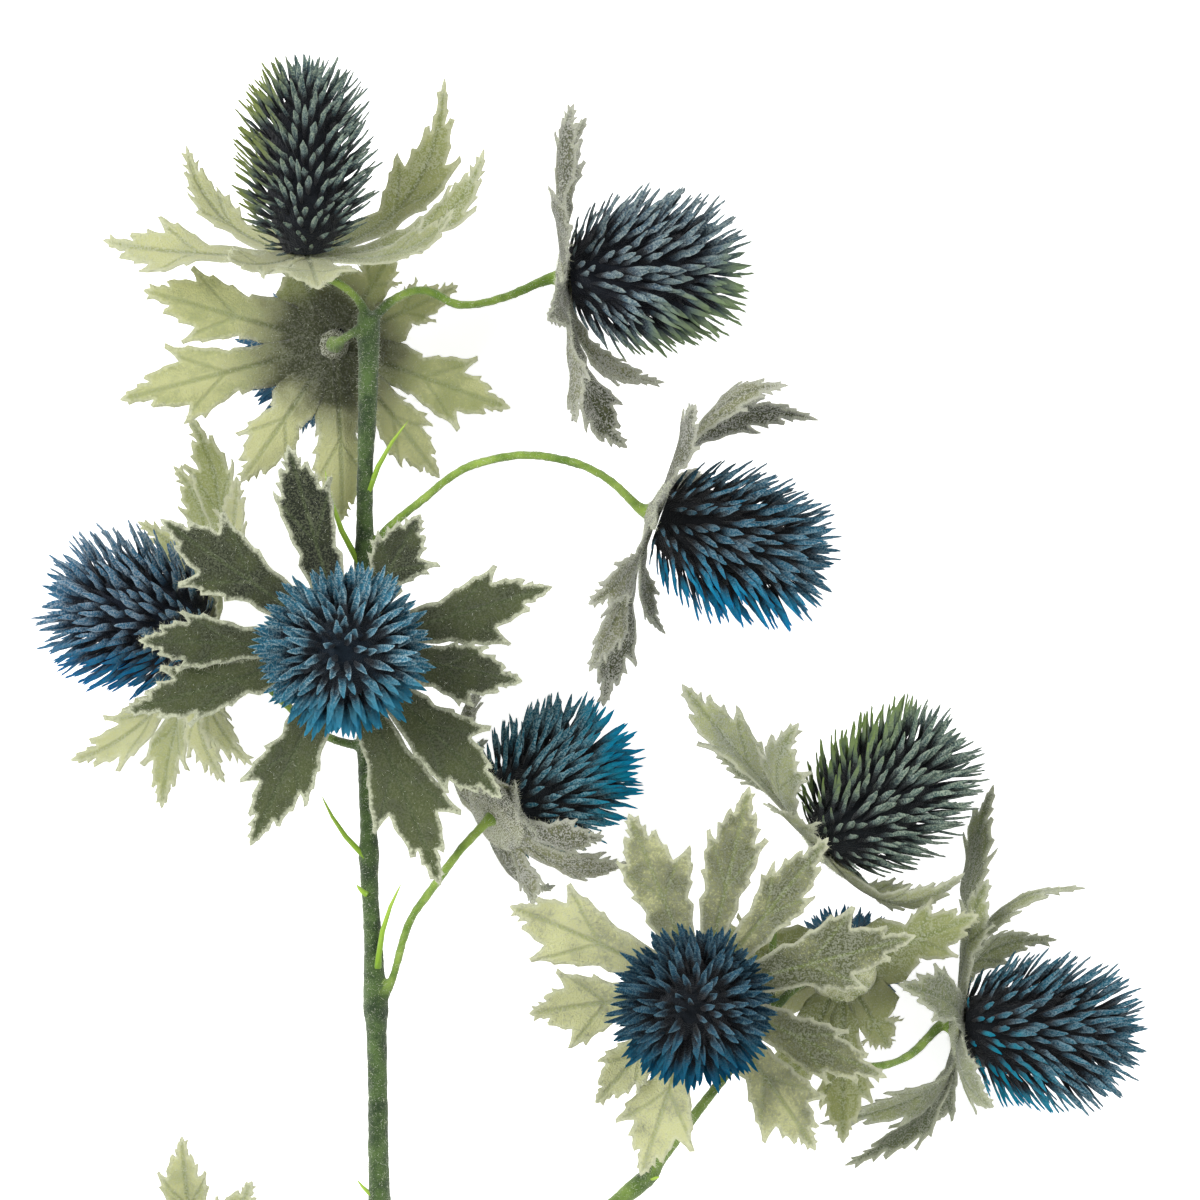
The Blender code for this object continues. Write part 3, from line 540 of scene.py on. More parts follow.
# Each bract: its tip from the head's seat, half width, left and right lobe, and twist in degrees
BRACTS = {
    1: (
        (-38.2, 3.0, 2.0, 4.8, 0.6, 0.9, -80), (-23.6, 22.0, -16.0, 3.0, 0.4, 0.0, -50),
        (25.5, 35.0, -19.0, 4.8, 0.9, 0.6, 70), (33.3, 20.3, 0.0, 3.6, 0.0, 0.6, 60),
        (27.9, 8.2, 15.0, 4.2, 0.5, 0.0, 60), (3.0, -7.0, 20.0, 6.6, 0.7, 0.7, 0),
        (-14.0, -1.0, 18.0, 4.4, 0.6, 0.0, -50),
    ),
    2: (
        (-35.7, 10.1, 7.0, 5.4, 0.4, 0.8, 0), (-40.1, -10.6, 7.0, 5.4, 0.8, 0.8, 0),
        (-17.5, -26.0, 3.0, 5.0, 0.3, 0.5, 0), (1.3, -33.3, -4.0, 4.8, 0.2, 0.3, 0),
        (19.8, -25.1, -8.0, 4.4, 0.3, 0.5, 0), (33.4, -11.8, -7.0, 4.8, 0.8, 0.9, 0),
        (23.4, 11.6, -7.0, 3.8, 0.3, 0.5, 0), (11.5, 19.2, -6.0, 4.0, 0.5, 0.2, 0),
        (-13.0, 24.0, -7.0, 4.2, 0.5, 0.5, 0),
    ),
    3: (
        (1.9, 32.3, 12.0, 3.6, 0.3, 0.5, 55), (4.2, 31.2, -10.0, 3.6, 0.5, 0.3, -45),
        (-2.1, 15.2, 26.0, 4.4, 0.5, 0.3, 35), (-3.0, -9.0, 25.0, 4.4, 0.3, 0.5, 20),
        (2.3, -27.9, 15.0, 3.8, 0.3, 0.6, -50), (12.0, -32.3, -4.0, 4.4, 0.7, 0.4, 70),
        (19.2, -19.4, -14.0, 3.4, 0.0, 0.4, 20), (4.0, 6.0, -25.0, 4.0, 0.5, 0.5, 0),
    ),
    4: (
        (7.6, 20.1, 20.0, 4.2, 0.4, 0.5, 50), (25.3, 24.1, 6.0, 3.8, 0.3, 0.6, 45),
        (31.5, 17.9, -9.0, 3.8, 0.5, 0.5, -40), (12.0, 6.0, -26.0, 3.8, 0.3, 0.3, 0),
        (-12.5, -17.3, 19.0, 4.2, 0.5, 0.5, 50), (-12.4, -30.0, 11.0, 4.0, 0.3, 0.6, 60),
        (-9.7, -36.9, -8.0, 4.8, 0.6, 0.4, 60), (2.3, -23.0, -18.0, 3.8, 0.4, 0.4, 0),
        (0.0, 2.0, 27.0, 4.2, 0.5, 0.3, 0),
    ),
    5: (
        (-4.0, 41.6, -2.0, 3.8, 0.6, 0.5, 75), (-7.0, 32.1, -11.0, 3.6, 0.4, 0.4, 60),
        (6.1, 29.8, 7.0, 3.6, 0.4, 0.4, 65), (-14.3, 21.5, -17.0, 3.6, 0.4, 0.4, 30),
        (-27.4, -24.7, -19.0, 4.2, 0.7, 0.5, -50), (-9.1, -33.8, -10.0, 4.2, 0.4, 0.6, -70),
        (3.6, -28.5, 1.0, 3.6, 0.3, 0.3, -60), (9.3, -25.1, 9.0, 3.2, 0.3, 0.3, -50),
        (2.0, 8.0, 14.0, 4.4, 0.5, 0.5, 0),
    ),
    6: (
        (-10.6, 38.0, 5.0, 5.0, 0.2, 0.4, 0), (14.3, 24.9, 7.0, 5.4, 0.3, 0.9, 0),
        (39.0, 11.4, 3.0, 5.4, 0.7, 0.9, 0), (33.4, -6.3, 8.0, 5.2, 0.2, 0.5, 0),
        (29.5, -28.3, 5.0, 5.6, 0.9, 0.3, 0), (18.0, -44.8, 1.0, 5.8, 0.9, 1.0, 0),
        (-17.7, -37.2, 5.0, 5.4, 0.3, 0.9, 0), (-41.4, -12.2, 2.0, 5.0, 0.3, 0.7, 0),
        (-38.4, 1.3, 8.0, 4.8, 0.4, 0.4, 0), (-34.6, 24.1, 4.0, 5.4, 0.9, 0.8, 0),
    ),
    7: (
        (20.4, -3.5, 10.0, 3.4, 0.4, 0.6, 0), (25.6, -8.7, -1.0, 3.6, 0.5, 0.5, 0),
        (7.0, -17.0, -2.0, 3.4, 0.3, 0.3, 0), (11.0, -14.0, -19.0, 3.6, 0.3, 0.3, 0),
        (-11.0, 8.0, 12.0, 4.6, 0.5, 0.5, 0), (-2.0, 26.0, -8.0, 4.0, 0.4, 0.4, 0),
        (-2.0, 14.0, -22.0, 3.8, 0.4, 0.4, 0), (4.0, 0.0, 14.0, 4.4, 0.4, 0.4, 0),
    ),
    8: (
        (-13.7, 33.6, 5.0, 5.6, 0.3, 1.0, 0), (8.9, 38.8, 7.0, 5.0, 0.3, 0.4, 0),
        (23.8, 29.1, 3.0, 4.6, 0.4, 0.4, 0), (40.1, 10.8, 6.0, 5.6, 0.9, 0.8, 0),
        (34.8, -16.0, 2.0, 4.6, 0.4, 0.3, 0), (21.3, -29.3, 6.0, 5.2, 0.8, 1.0, 0),
        (-11.4, -34.4, 2.0, 5.6, 0.9, 0.7, 0), (-19.8, -20.5, 6.0, 4.4, 0.3, 0.3, 0),
        (-32.3, -4.0, 2.0, 5.2, 0.9, 0.9, 0), (-35.9, 16.3, 6.0, 5.6, 0.8, 0.8, 0),
    ),
    9: (
        (-26.6, 31.7, 0.0, 5.6, 0.3, 0.4, -75), (-20.3, 18.8, -12.0, 4.4, 0.3, 0.3, 65),
        (-4.6, 24.5, 12.0, 5.0, 0.7, 0.4, 60), (-8.0, 8.0, 16.0, 5.2, 0.5, 0.4, 45),
        (27.0, -4.0, 6.0, 3.8, 0.4, 0.4, -50), (20.0, -8.0, -7.0, 3.6, 0.4, 0.4, 40),
        (4.0, 6.0, -24.0, 3.8, 0.4, 0.4, 0),
    ),
    10: (
        (7.6, 45.8, -10.0, 4.8, 0.4, 0.6, 55), (5.5, 28.5, 10.0, 4.2, 0.3, 0.9, 60),
        (24.5, 26.4, 1.0, 3.2, 0.5, 0.0, 30), (20.1, 15.8, -14.0, 3.8, 0.0, 0.4, -30),
        (-12.0, 9.0, 18.0, 4.6, 0.5, 0.5, 0), (-26.2, -18.4, 2.5, 4.4, 0.4, 0.7, 60),
        (-21.1, -27.0, -6.0, 4.4, 0.4, 0.4, -35), (-5.7, -20.0, -18.0, 4.0, 0.3, 0.5, -50),
        (6.0, -14.0, 20.0, 4.4, 0.5, 0.4, 0), (5.0, 3.0, -21.0, 3.8, 0.4, 0.4, 0),
    ),
    11: (
        (25.5, 10.6, 4.0, 4.8, 0.7, 0.7, 0), (9.0, -15.0, -3.0, 4.0, 0.4, 0.4, 0),
        (-11.0, -24.0, -6.0, 4.6, 0.4, 0.4, 0), (0.0, -33.0, -1.5, 4.4, 0.3, 0.5, 0),
        (-24.0, -10.0, -7.0, 4.6, 0.4, 0.4, 0), (-27.0, 6.0, -7.0, 4.6, 0.4, 0.4, 0),
    ),
    12: (
        (-3.2, 29.5, 6.0, 4.6, 0.4, 0.6, 0), (10.4, 21.5, 12.0, 4.2, 0.3, 0.4, 0),
        (27.0, 10.0, 16.0, 4.6, 0.6, 0.5, 0), (30.0, -13.0, 12.0, 4.6, 0.5, 0.6, 0),
        (12.0, -32.0, 0.0, 4.6, 0.6, 0.4, 0), (-13.0, -32.0, -12.0, 4.6, 0.4, 0.5, 0),
        (-30.0, -14.0, -18.0, 4.4, 0.5, 0.5, 0), (-28.0, 12.0, -10.0, 4.4, 0.4, 0.6, 0),
    ),
}


def head_turn(axis):
    """The turn from straight up to the way a head faces."""
    return Vector(axis).normalized().to_track_quat("Z", "Y")


def leaf_edge(length, half_width, web, lobe, draw):
    """One side of a bract's outline in the flat, from foot to tip, as (along, across) in millimetres."""
    half_width *= draw.uniform(0.84, 1.02)
    reach = half_width * (0.92 + 0.60 * lobe)
    slide = draw.uniform(-0.06, 0.05) * length
    waist = draw.uniform(0.62, 0.84)
    shoulder = draw.uniform(0.38, 0.54)
    corners = (
        (BRACT_FOOT * length, web[1] * 0.8, 0, 0.0),
        (web[0], web[1], 0, 0.0),
        (max(0.32 * length, web[0] + 2), waist * half_width, 1, 0.0),
        (LOBE_AT * length + slide, reach, 3, 0.45),
        (0.62 * length + slide, 0.80 * half_width, 0, -0.25),
        (0.83 * length + slide / 2, shoulder * half_width, 2, 0.3),
        (0.80 * length + slide / 2, (shoulder - 0.15) * half_width, 0, -0.1),
        (0.95 * length, 0.13 * half_width, 2, 0.2),
        (length, 0.0, 0, 0.1),
    )
    made = [corners[0][:2]]
    for (a0, b0, _, _), (a1, b1, teeth, bulge) in zip(corners, corners[1:]):
        run = Vector((a1 - a0, b1 - b0))
        out = Vector((-run.y, run.x)).normalized()
        steps = 3 if not teeth else teeth * 4
        for step in range(1, steps + 1):
            share = step / steps
            place = Vector((a0, b0)) + run * share + out * bulge * math.sin(math.pi * share)
            if teeth and step < steps:
                size = draw.choice((0.2, 0.4, 0.6, 0.9))
                if step % 4 == 3:
                    place += out * size + run.normalized() * size * 0.9
                elif step % 4 == 2:
                    place += out * size * 0.3
            made.append((place.x, max(place.y, 0.0)))
    return made


def leaf_mesh_2d(left_edge, right_edge, length, foot):
    """Triangles that fill a bract's outline, its midrib an edge, and each point's distance from the rim."""
    loop = [Vector(p) for p in left_edge] + [Vector((a, -b)) for a, b in reversed(right_edge[:-1])]
    count = len(loop)
    outline = np.array([tuple(p) for p in loop])
    following = np.roll(outline, -1, 0)

    def edge_distance(points):
        run = following - outline
        share = ((points[:, None] - outline) * run).sum(2) / np.maximum((run**2).sum(1), 1e-9)
        closest = outline + run * np.clip(share, 0, 1)[:, :, None]
        return np.sqrt(((points[:, None] - closest) ** 2).sum(2)).min(1)

    rib = [Vector((a, 0.0)) for a in np.arange(foot + 0.5, length - 0.6, 0.9)]
    draw = random.Random(count)
    top = max(b for _, b in left_edge)
    low = max(b for _, b in right_edge)
    grid = []
    for row, across in enumerate(np.arange(-low, top, LEAF_MESH_STEP * 0.87)):
        if abs(across) < 0.3:
            continue
        for along in np.arange(foot, length, LEAF_MESH_STEP):
            shift = LEAF_MESH_STEP / 2 * (row % 2)
            grid.append((along + shift + draw.uniform(-0.1, 0.1), across + draw.uniform(-0.1, 0.1)))
    grid = np.array(grid)
    x, y = grid[:, 0, None], grid[:, 1, None]
    crosses = (outline[:, 1] > y) != (following[:, 1] > y)
    run_x, run_y = (following - outline).T
    with np.errstate(divide="ignore", invalid="ignore"):
        at = outline[:, 0] + (y - outline[:, 1]) * run_x / run_y
    inside = (crosses & (x < at)).sum(1) % 2 == 1
    grid = grid[inside]
    grid = grid[edge_distance(grid) > 0.35]
    points = loop + rib + [Vector(p) for p in grid]
    edges = [(i, (i + 1) % count) for i in range(count)]
    edges += [(count + i, count + i + 1) for i in range(len(rib) - 1)]
    places, _, faces, _, _, _ = delaunay_2d_cdt(points, edges, [], 1, 1e-5)
    flat = np.array([tuple(p) for p in places])
    return flat, faces, edge_distance(flat)


def bract_point(root, bend, tip, side, twist, along, across):
    """A point on a bract: along its curved, twisted midrib, and across it with both halves folded up."""
    middle = root * (1 - along) ** 2 + bend * (2 * along * (1 - along)) + tip * along**2
    heading = ((bend - root) * (1 - along) + (tip - bend) * along).normalized()
    turned = Matrix.Rotation(twist * max(along, 0), 3, heading) @ side
    face = heading.cross(turned).normalized()
    return middle + turned * across + face * (abs(across) * BRACT_FOLD)


def build_whorl(number):
    """One head's bracts as a thin sheet, thickened, with what its finish reads kept at every point."""
    base, axis, _, _ = HEADS[number]
    turn = head_turn(axis)
    back = turn.inverted()
    seat = layout(*base)
    draw = random.Random(100 + number)
    bracts = []
    for x, y, z, half_width, left, right, twist in BRACTS[number]:
        tip = back @ Vector((x, y, z))
        bracts.append((math.atan2(tip.y, tip.x), tip, half_width, left, right, math.radians(twist)))
    bracts.sort(key=lambda bract: bract[0])
    work = bmesh.new()
    layers = {n: work.verts.layers.float.new(n) for n in ("margin", "across", "along", "vein", "tone")}
    for index, (angle, tip, half_width, left, right, twist) in enumerate(bracts):
        # A random tone for each bract; on the whorls in SHADY_SIDES it is mostly painted shade, darker on the
        # shady side
        shade = SHADY_SIDES.get(number)
        tone = draw.random()
        if shade is not None:
            shadiness = 0.5 + 0.5 * (turn @ tip).normalized().dot(Vector(shade).normalized())
            tone = 0.35 * tone + 0.65 * shadiness
        after = bracts[(index + 1) % len(bracts)][0]
        before = bracts[index - 1][0]
        out = Vector((math.cos(angle), math.sin(angle), 0))
        side = Vector((0, 0, 1)).cross(out)
        root = out * HUB_RADIUS
        flat = Vector((tip.x, tip.y, 0)).length
        bend = out * (HUB_RADIUS + 0.6 * (flat - HUB_RADIUS) + 0.35 * max(tip.z, 0))
        bend += Vector((0, 0, 0.08 * tip.z))
        rib = [root * (1 - t) ** 2 + bend * (2 * t * (1 - t)) + tip * t**2 for t in np.linspace(0, 1, 16)]
        length = sum((b - a).length for a, b in zip(rib, rib[1:]))
        edges = []
        joined = WEB_RADII.get(number, WEB_RADIUS)
        for gap, lobe in (((after - angle) % math.tau, left), ((angle - before) % math.tau, right)):
            half = min(gap / 2, 0.6)
            web = (max(joined * math.cos(half) - HUB_RADIUS, 0.2), joined * math.sin(half))
            edges.append(leaf_edge(length, half_width, web, lobe, draw))
        flat_points, faces, margins = leaf_mesh_2d(*edges, length, BRACT_FOOT * length)
        made = []
        wave = draw.uniform(0, 10)
        for (a, b), margin in zip(flat_points, margins):
            place = bract_point(root, bend, tip, side, twist, a / length, b)
            place.z += noise.noise(Vector((a * 0.16, b * 0.25, wave))) * LEAF_WAVE * min(1.0, abs(b) / 3)
            vertex = work.verts.new(seat + turn @ (place * MM))
            reach = half_width * (1 + 0.55 * (left if b > 0 else right))
            slope = (LOBE_AT - VEIN_START) * length / reach
            inside = Vector((place.x, place.y)).length < joined
            vertex[layers["margin"]] = JOINED_MARGIN if inside else margin
            vertex[layers["across"]] = b
            vertex[layers["along"]] = a / length
            vertex[layers["vein"]] = (a - VEIN_START * length - slope * abs(b)) / math.hypot(1, slope)
            vertex[layers["tone"]] = tone
            made.append(vertex)
        for face in faces:
            work.faces.new([made[i] for i in face])
    mesh = mesh_from(work, f"head_{number:02d}_whorl", smooth=True)
    guide = object_from("whorl_sheet", mesh)
    group = guide.vertex_groups.new(name="thick")
    for vertex, margin in zip(mesh.vertices, mesh.attributes["margin"].data):
        group.add([vertex.index], min(1.0, 0.35 + margin.value * 0.5), "REPLACE")
    thickness = guide.modifiers.new("thickness", "SOLIDIFY")
    thickness.thickness = LEAF_THICKNESS
    thickness.offset = 0.0
    thickness.vertex_group = "thick"
    thickness.thickness_vertex_group = 0.3
    return settle(guide, f"head_{number:02d}_whorl")


# Screen colours of each whorl: the leaf, its darker patches and painted shade, its veins, its rim, the down
# on it, how much down lies on it, how much painted shade darkens its middle, and how much light comes through
SAGE = ((202, 204, 154), (134, 144, 84), (102, 116, 60), (232, 234, 212), (228, 230, 214))
GREY_LEAF = ((124, 127, 90), (52, 58, 32), (60, 68, 36), (206, 208, 190), (216, 216, 206))
LEAF_LOOKS = {
    1: (*SAGE, 0.45, 0.2, 0.35),
    2: (*SAGE, 0.22, 1.0, 0.40),
    3: (*GREY_LEAF, 0.55, 0.4, 0.20),
    4: (*GREY_LEAF, 0.50, 0.4, 0.15),
    5: (*SAGE, 0.35, 0.3, 0.35),
    6: ((74, 82, 48), (18, 24, 12), (60, 72, 40), (222, 226, 196), (140, 148, 114), 0.26, 0.5, 0.05),
    7: (*GREY_LEAF, 0.60, 0.1, 0.20),
    8: ((206, 208, 158), (66, 74, 42), (112, 126, 68), (230, 232, 208), (222, 224, 208), 0.30, 0.4, 0.30),
    9: ((176, 182, 132), (98, 108, 66), (92, 106, 56), (222, 224, 202), (222, 224, 212), 0.40, 0.4, 0.25),
    10: ((140, 148, 100), (74, 84, 48), (74, 88, 44), (206, 210, 184), (210, 212, 198), 0.38, 0.4, 0.20),
    11: (*SAGE, 0.35, 0.4, 0.40),
    12: (*SAGE, 0.35, 0.3, 0.35),
}


def leaf_finish(name, leaf, dark, vein_colour, rim, down, down_share, middle_painted_shade, glow_share):
    """Mottled felt with darker veins, a pale worn rim, painted shade in the middle and on shady bracts, and
    flecks of down.
    """
    made, tree = new_finish(name)
    patches = speckle(tree, 190.0, 4.0)
    mottle = speckle(tree, 1500.0, 4.0)
    fibres = speckle(tree, 3000.0, 4.0)
    tone = attribute(tree, "tone")
    margin = attribute(tree, "margin")
    along = attribute(tree, "along")
    rib = (1 - abs(attribute(tree, "across")).step(0.10, 0.75)) * (1 - along * 0.5)
    lobe_vein = (1 - abs(attribute(tree, "vein")).step(0.05, 0.6)) * 0.6
    veins = rib.math("MAXIMUM", rib, lobe_vein)
    # Darker patches: random mottling and the bract's tone, which on some whorls is painted shade
    patches_and_painted_shade = patches * 0.9 + mottle * 0.5 + fibres * 0.5 + tone * 0.55 - 0.70
    colour = mix(tint(*leaf), tint(*dark), patches_and_painted_shade.step(0.28, 0.72))
    colour = mix(colour, tint(*vein_colour), veins * 0.85)
    edge = (1 - (margin + mottle * 1.4 - 0.7).step(0.05, 0.95)) * 0.85
    colour = mix(colour, tint(*rim), edge)
    # Painted shade: the whorl's middle round the cup is darkened almost to black, with less down showing
    # there
    middle = (1 - (along + patches * 0.3 - 0.15).step(0.04, 0.44)) * middle_painted_shade
    colour = mix(colour, tuple(c * 0.12 for c in tint(*dark)), middle)
    flock = (fibres * 0.8 + mottle * 0.4 + patches * 0.3 - 0.15).step(0.56, 0.68)
    colour = mix(colour, tint(*down), flock * down_share * (1 - middle * 0.6))
    height = mottle * 0.4 + fibres * 0.8 - veins * 0.8
    share = ((1 - veins * 0.5) * glow_share + edge * 0.2) * (1 - middle * 0.8)
    close_finish(tree, colour, 0.92, 0.9, (height, 0.0005), tint(*leaf), share, 0.25)
    return made


for number in HEADS:
    whorl = build_whorl(number)
    whorl.data.materials.append(leaf_finish(f"leaf_felt_{number:02d}", *LEAF_LOOKS[number]))
    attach(whorl, "root")
    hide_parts(f"head_{number:02d}_bracts")

# The cups that hold the bracts: one shallow felted cup on top of each stalk, with the bracts' feet in it.
CUP_PROFILE = (
    (0.0, -1.7), (1.6, -1.6), (2.6, -1.15), (4.6, -0.75), (6.6, -0.35), (7.6, 0.15), (7.0, 0.3), (0.0, 0.25),
)
CUP_SIDES = 40
CUP_UNEVENNESS = 0.06
# How wide and how bright a cup is, and the ones that differ
CUP_SIZE = 0.85
CUP_SIZES = {2: 0.40, 7: 1.05, 9: 1.0}
CUP_SHADES = {2: 0.45, 8: 0.6}


def head_frame(base, axis):
    """A head's own frame, at its seat and turned the way it faces."""
    return Matrix.Translation(layout(*base)) @ head_turn(axis).to_matrix().to_4x4()


for number, (base, axis, _, _) in HEADS.items():
    size = CUP_SIZES.get(number, CUP_SIZE)
    work = bmesh.new()
    rings = []
    for radius, height in CUP_PROFILE:
        if radius == 0:
            rings.append([work.verts.new(Vector((0, 0, height)) * MM)])
            continue
        ring = []
        for step in range(CUP_SIDES):
            angle = math.tau * step / CUP_SIDES
            x, y = math.cos(angle), math.sin(angle)
            wide = radius * size * (1 + CUP_UNEVENNESS * noise.noise(Vector((x, y, number)) * 2.2))
            ring.append(work.verts.new(Vector((wide * x, wide * y, height)) * MM))
        rings.append(ring)
    join_rings(work, rings)
    bmesh.ops.transform(work, matrix=head_frame(base, axis), verts=work.verts)
    mesh = mesh_from(work, f"head_{number:02d}_cup", smooth=True)
    cup = object_from(f"head_{number:02d}_cup", mesh)
    made, tree = new_finish(f"cup_felt_{number:02d}")
    leaf, dark, _, _, down, down_share, _, _ = LEAF_LOOKS[number]
    leaf, dark = (tuple(c * CUP_SHADES.get(number, 1.0) for c in shade) for shade in (leaf, dark))
    patches = speckle(tree, 300.0, 3.0)
    fibres = speckle(tree, 4200.0, 3.0)
    colour = mix(tint(*dark), tint(*leaf), patches.step(0.35, 0.65))
    colour = mix(colour, tint(*down), fibres.step(0.42, 0.6) * min(1.0, down_share + 0.2))
    close_finish(tree, colour, 0.92, 0.8, (fibres, 0.0004), tint(*leaf), 0.05, 0.25)
    mesh.materials.append(made)
    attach(cup, "root")

# The cones: each head is an egg-shaped core set all round with stiff channelled spikes, dyed blue, with dust
# and a painted highlight along their ridges and painted light on their tips. They stand out near the base and
# lean forward towards the tip.
SPIKE_SECTIONS = (
    (0.0, 0.5), (0.18, 0.8), (0.36, 0.95), (0.54, 1.0), (0.70, 0.88), (0.84, 0.62), (0.94, 0.32),
)
SPIKE_LENGTH = 9.2
SPIKE_HALF_WIDTH = 0.66
SPIKE_COUNT = 340
SPIKE_KINDS = 8
CORE_START = 1.4
CORE_RADIUS = 7.9
TIP_ALLOWANCE = 8.2
WIDEST_HEAD = 29.0
SPIRAL_TURN = 2.39996
LEAN_RANGE = 1.5
CORE_SIDES = 20
CORE_OVERSIZE = 1.02
# Heads that the photo shows slimmer or fuller than the others of their size
SLIM_HEADS = {1: 0.93, 3: 1.05, 4: 1.03, 5: 1.03, 6: 0.98, 7: 0.93, 8: 0.94, 11: 0.8}


def new_kinds(name):
    """A collection for the few shapes that are set out many times."""
    kinds = bpy.data.collections.new(name)
    bpy.context.scene.collection.children.link(kinds)
    return kinds


def clear_kinds(kinds):
    """Removes the few shapes once they have been set out."""
    for kind in list(kinds.objects):
        bpy.data.objects.remove(kind)


spike_kinds = new_kinds("spike_kinds")
for kind in range(SPIKE_KINDS):
    draw = random.Random(40 + kind)
    work = bmesh.new()
    edge_layer = work.verts.layers.float.new("edge")
    along_layer = work.verts.layers.float.new("along")
    curl = draw.uniform(-0.8, 0.5)
    sway = draw.uniform(-0.7, 0.7)
    open_angle = draw.uniform(0.5, 0.95)
    blunt = draw.choice((0.0, 0.0, 0.35))
    rings = []
    for share, width in SPIKE_SECTIONS:
        width = width + blunt * share * (1 - width)
        left, right = (SPIKE_HALF_WIDTH * width * draw.uniform(0.72, 1.25) for _ in range(2))
        bent = Vector((curl * share**2, sway * share**2 + draw.uniform(-0.06, 0.06), share * SPIKE_LENGTH))
        keel = -0.55 * width
        ring = []
        channel = (
            (keel + open_angle * left * 1.5, left, 1.0),
            (keel + 0.36, 0.0, 0.0),
            (keel + open_angle * right * 1.5, -right, 1.0),
            (keel, 0.0, 0.35),
        )
        for x, y, edge in channel:
            vertex = work.verts.new((bent + Vector((x, y, 0))) * MM)
            vertex[edge_layer] = edge
            vertex[along_layer] = share
            ring.append(vertex)
        rings.append(ring)
    point = work.verts.new(Vector((curl, sway, SPIKE_LENGTH)) * MM)
    point[edge_layer] = 0.7
    point[along_layer] = 1.0
    work.faces.new(rings[0][::-1])
    join_rings(work, [*rings, [point]])
    name = f"spike_kind_{kind}"
    spike_kinds.objects.link(bpy.data.objects.new(name, mesh_from(work, name)))


class Growth:
    """A Geometry Nodes tree that sets a few shapes out many times, with a wire from each of its inputs."""

    # Where each kind of random value has its least, its greatest and its result
    RANDOM_SOCKETS = {"FLOAT_VECTOR": (0, 1, 0), "FLOAT": (2, 3, 1), "INT": (4, 5, 2)}

    def __init__(self, name, sockets):
        self.tree = bpy.data.node_groups.new(name, "GeometryNodeTree")
        for label, kind in sockets.items():
            self.tree.interface.new_socket(name=label, in_out="INPUT", socket_type=f"NodeSocket{kind}")
        self.tree.interface.new_socket(name="Grown", in_out="OUTPUT", socket_type="NodeSocketGeometry")
        group_in = self.tree.nodes.new("NodeGroupInput")
        self.given = {label: Wire(self.tree, group_in.outputs[label]) for label in sockets}
        self.index = self.node("GeometryNodeInputIndex")

    def node(self, kind, settings=None, values=None, output=0):
        return add_node(self.tree, kind, settings, values, output)

    def curve(self, points, value):
        """The height at a value of a smooth line through the points."""
        return self.node("ShaderNodeFloatCurve", {"curve": points}, {"Factor": 1.0, "Value": value})

    def vector(self, x, y, z):
        return self.node("ShaderNodeCombineXYZ", None, {0: x, 1: y, 2: z})

    def chance(self, low, high, salt, kind="FLOAT"):
        """A random number, or three, for each shape that is set out."""
        least, greatest, output = self.RANDOM_SOCKETS[kind]
        values = {least: low, greatest: high, 7: self.index, 8: self.given["Seed"] + salt}
        return self.node("FunctionNodeRandomValue", {"data_type": kind}, values, output)

    def set_out(self, points, turn, size, last_kind, salt):
        """One of the shapes on each point."""
        children = {"Collection": self.given["Kinds"], "Separate Children": True}
        values = {
            "Points": points,
            "Instance": self.node("GeometryNodeCollectionInfo", None, children),
            "Pick Instance": True,
            "Instance Index": self.chance(0, last_kind, salt, "INT"),
            "Rotation": turn,
            "Scale": size,
        }
        return self.node("GeometryNodeInstanceOnPoints", None, values)

    def end(self, shapes):
        """Makes the shapes real and gives them their finish."""
        real = self.node("GeometryNodeRealizeInstances", None, {0: shapes})
        values = {"Geometry": real, "Material": self.given["Finish"]}
        dressed = self.node("GeometryNodeSetMaterial", None, values)
        group_out = self.tree.nodes.new("NodeGroupOutput")
        self.tree.links.new(dressed.socket, group_out.inputs[0])

    def grow(self, guide, name, values):
        """The guide with the shapes grown on it, as a plain mesh of its own."""
        setting = guide.modifiers.new("grown", "NODES")
        setting.node_group = self.tree
        for item in self.tree.interface.items_tree:
            if item.in_out == "INPUT" and item.name in values:
                setting[item.identifier] = values[item.name]
        return settle(guide, name)


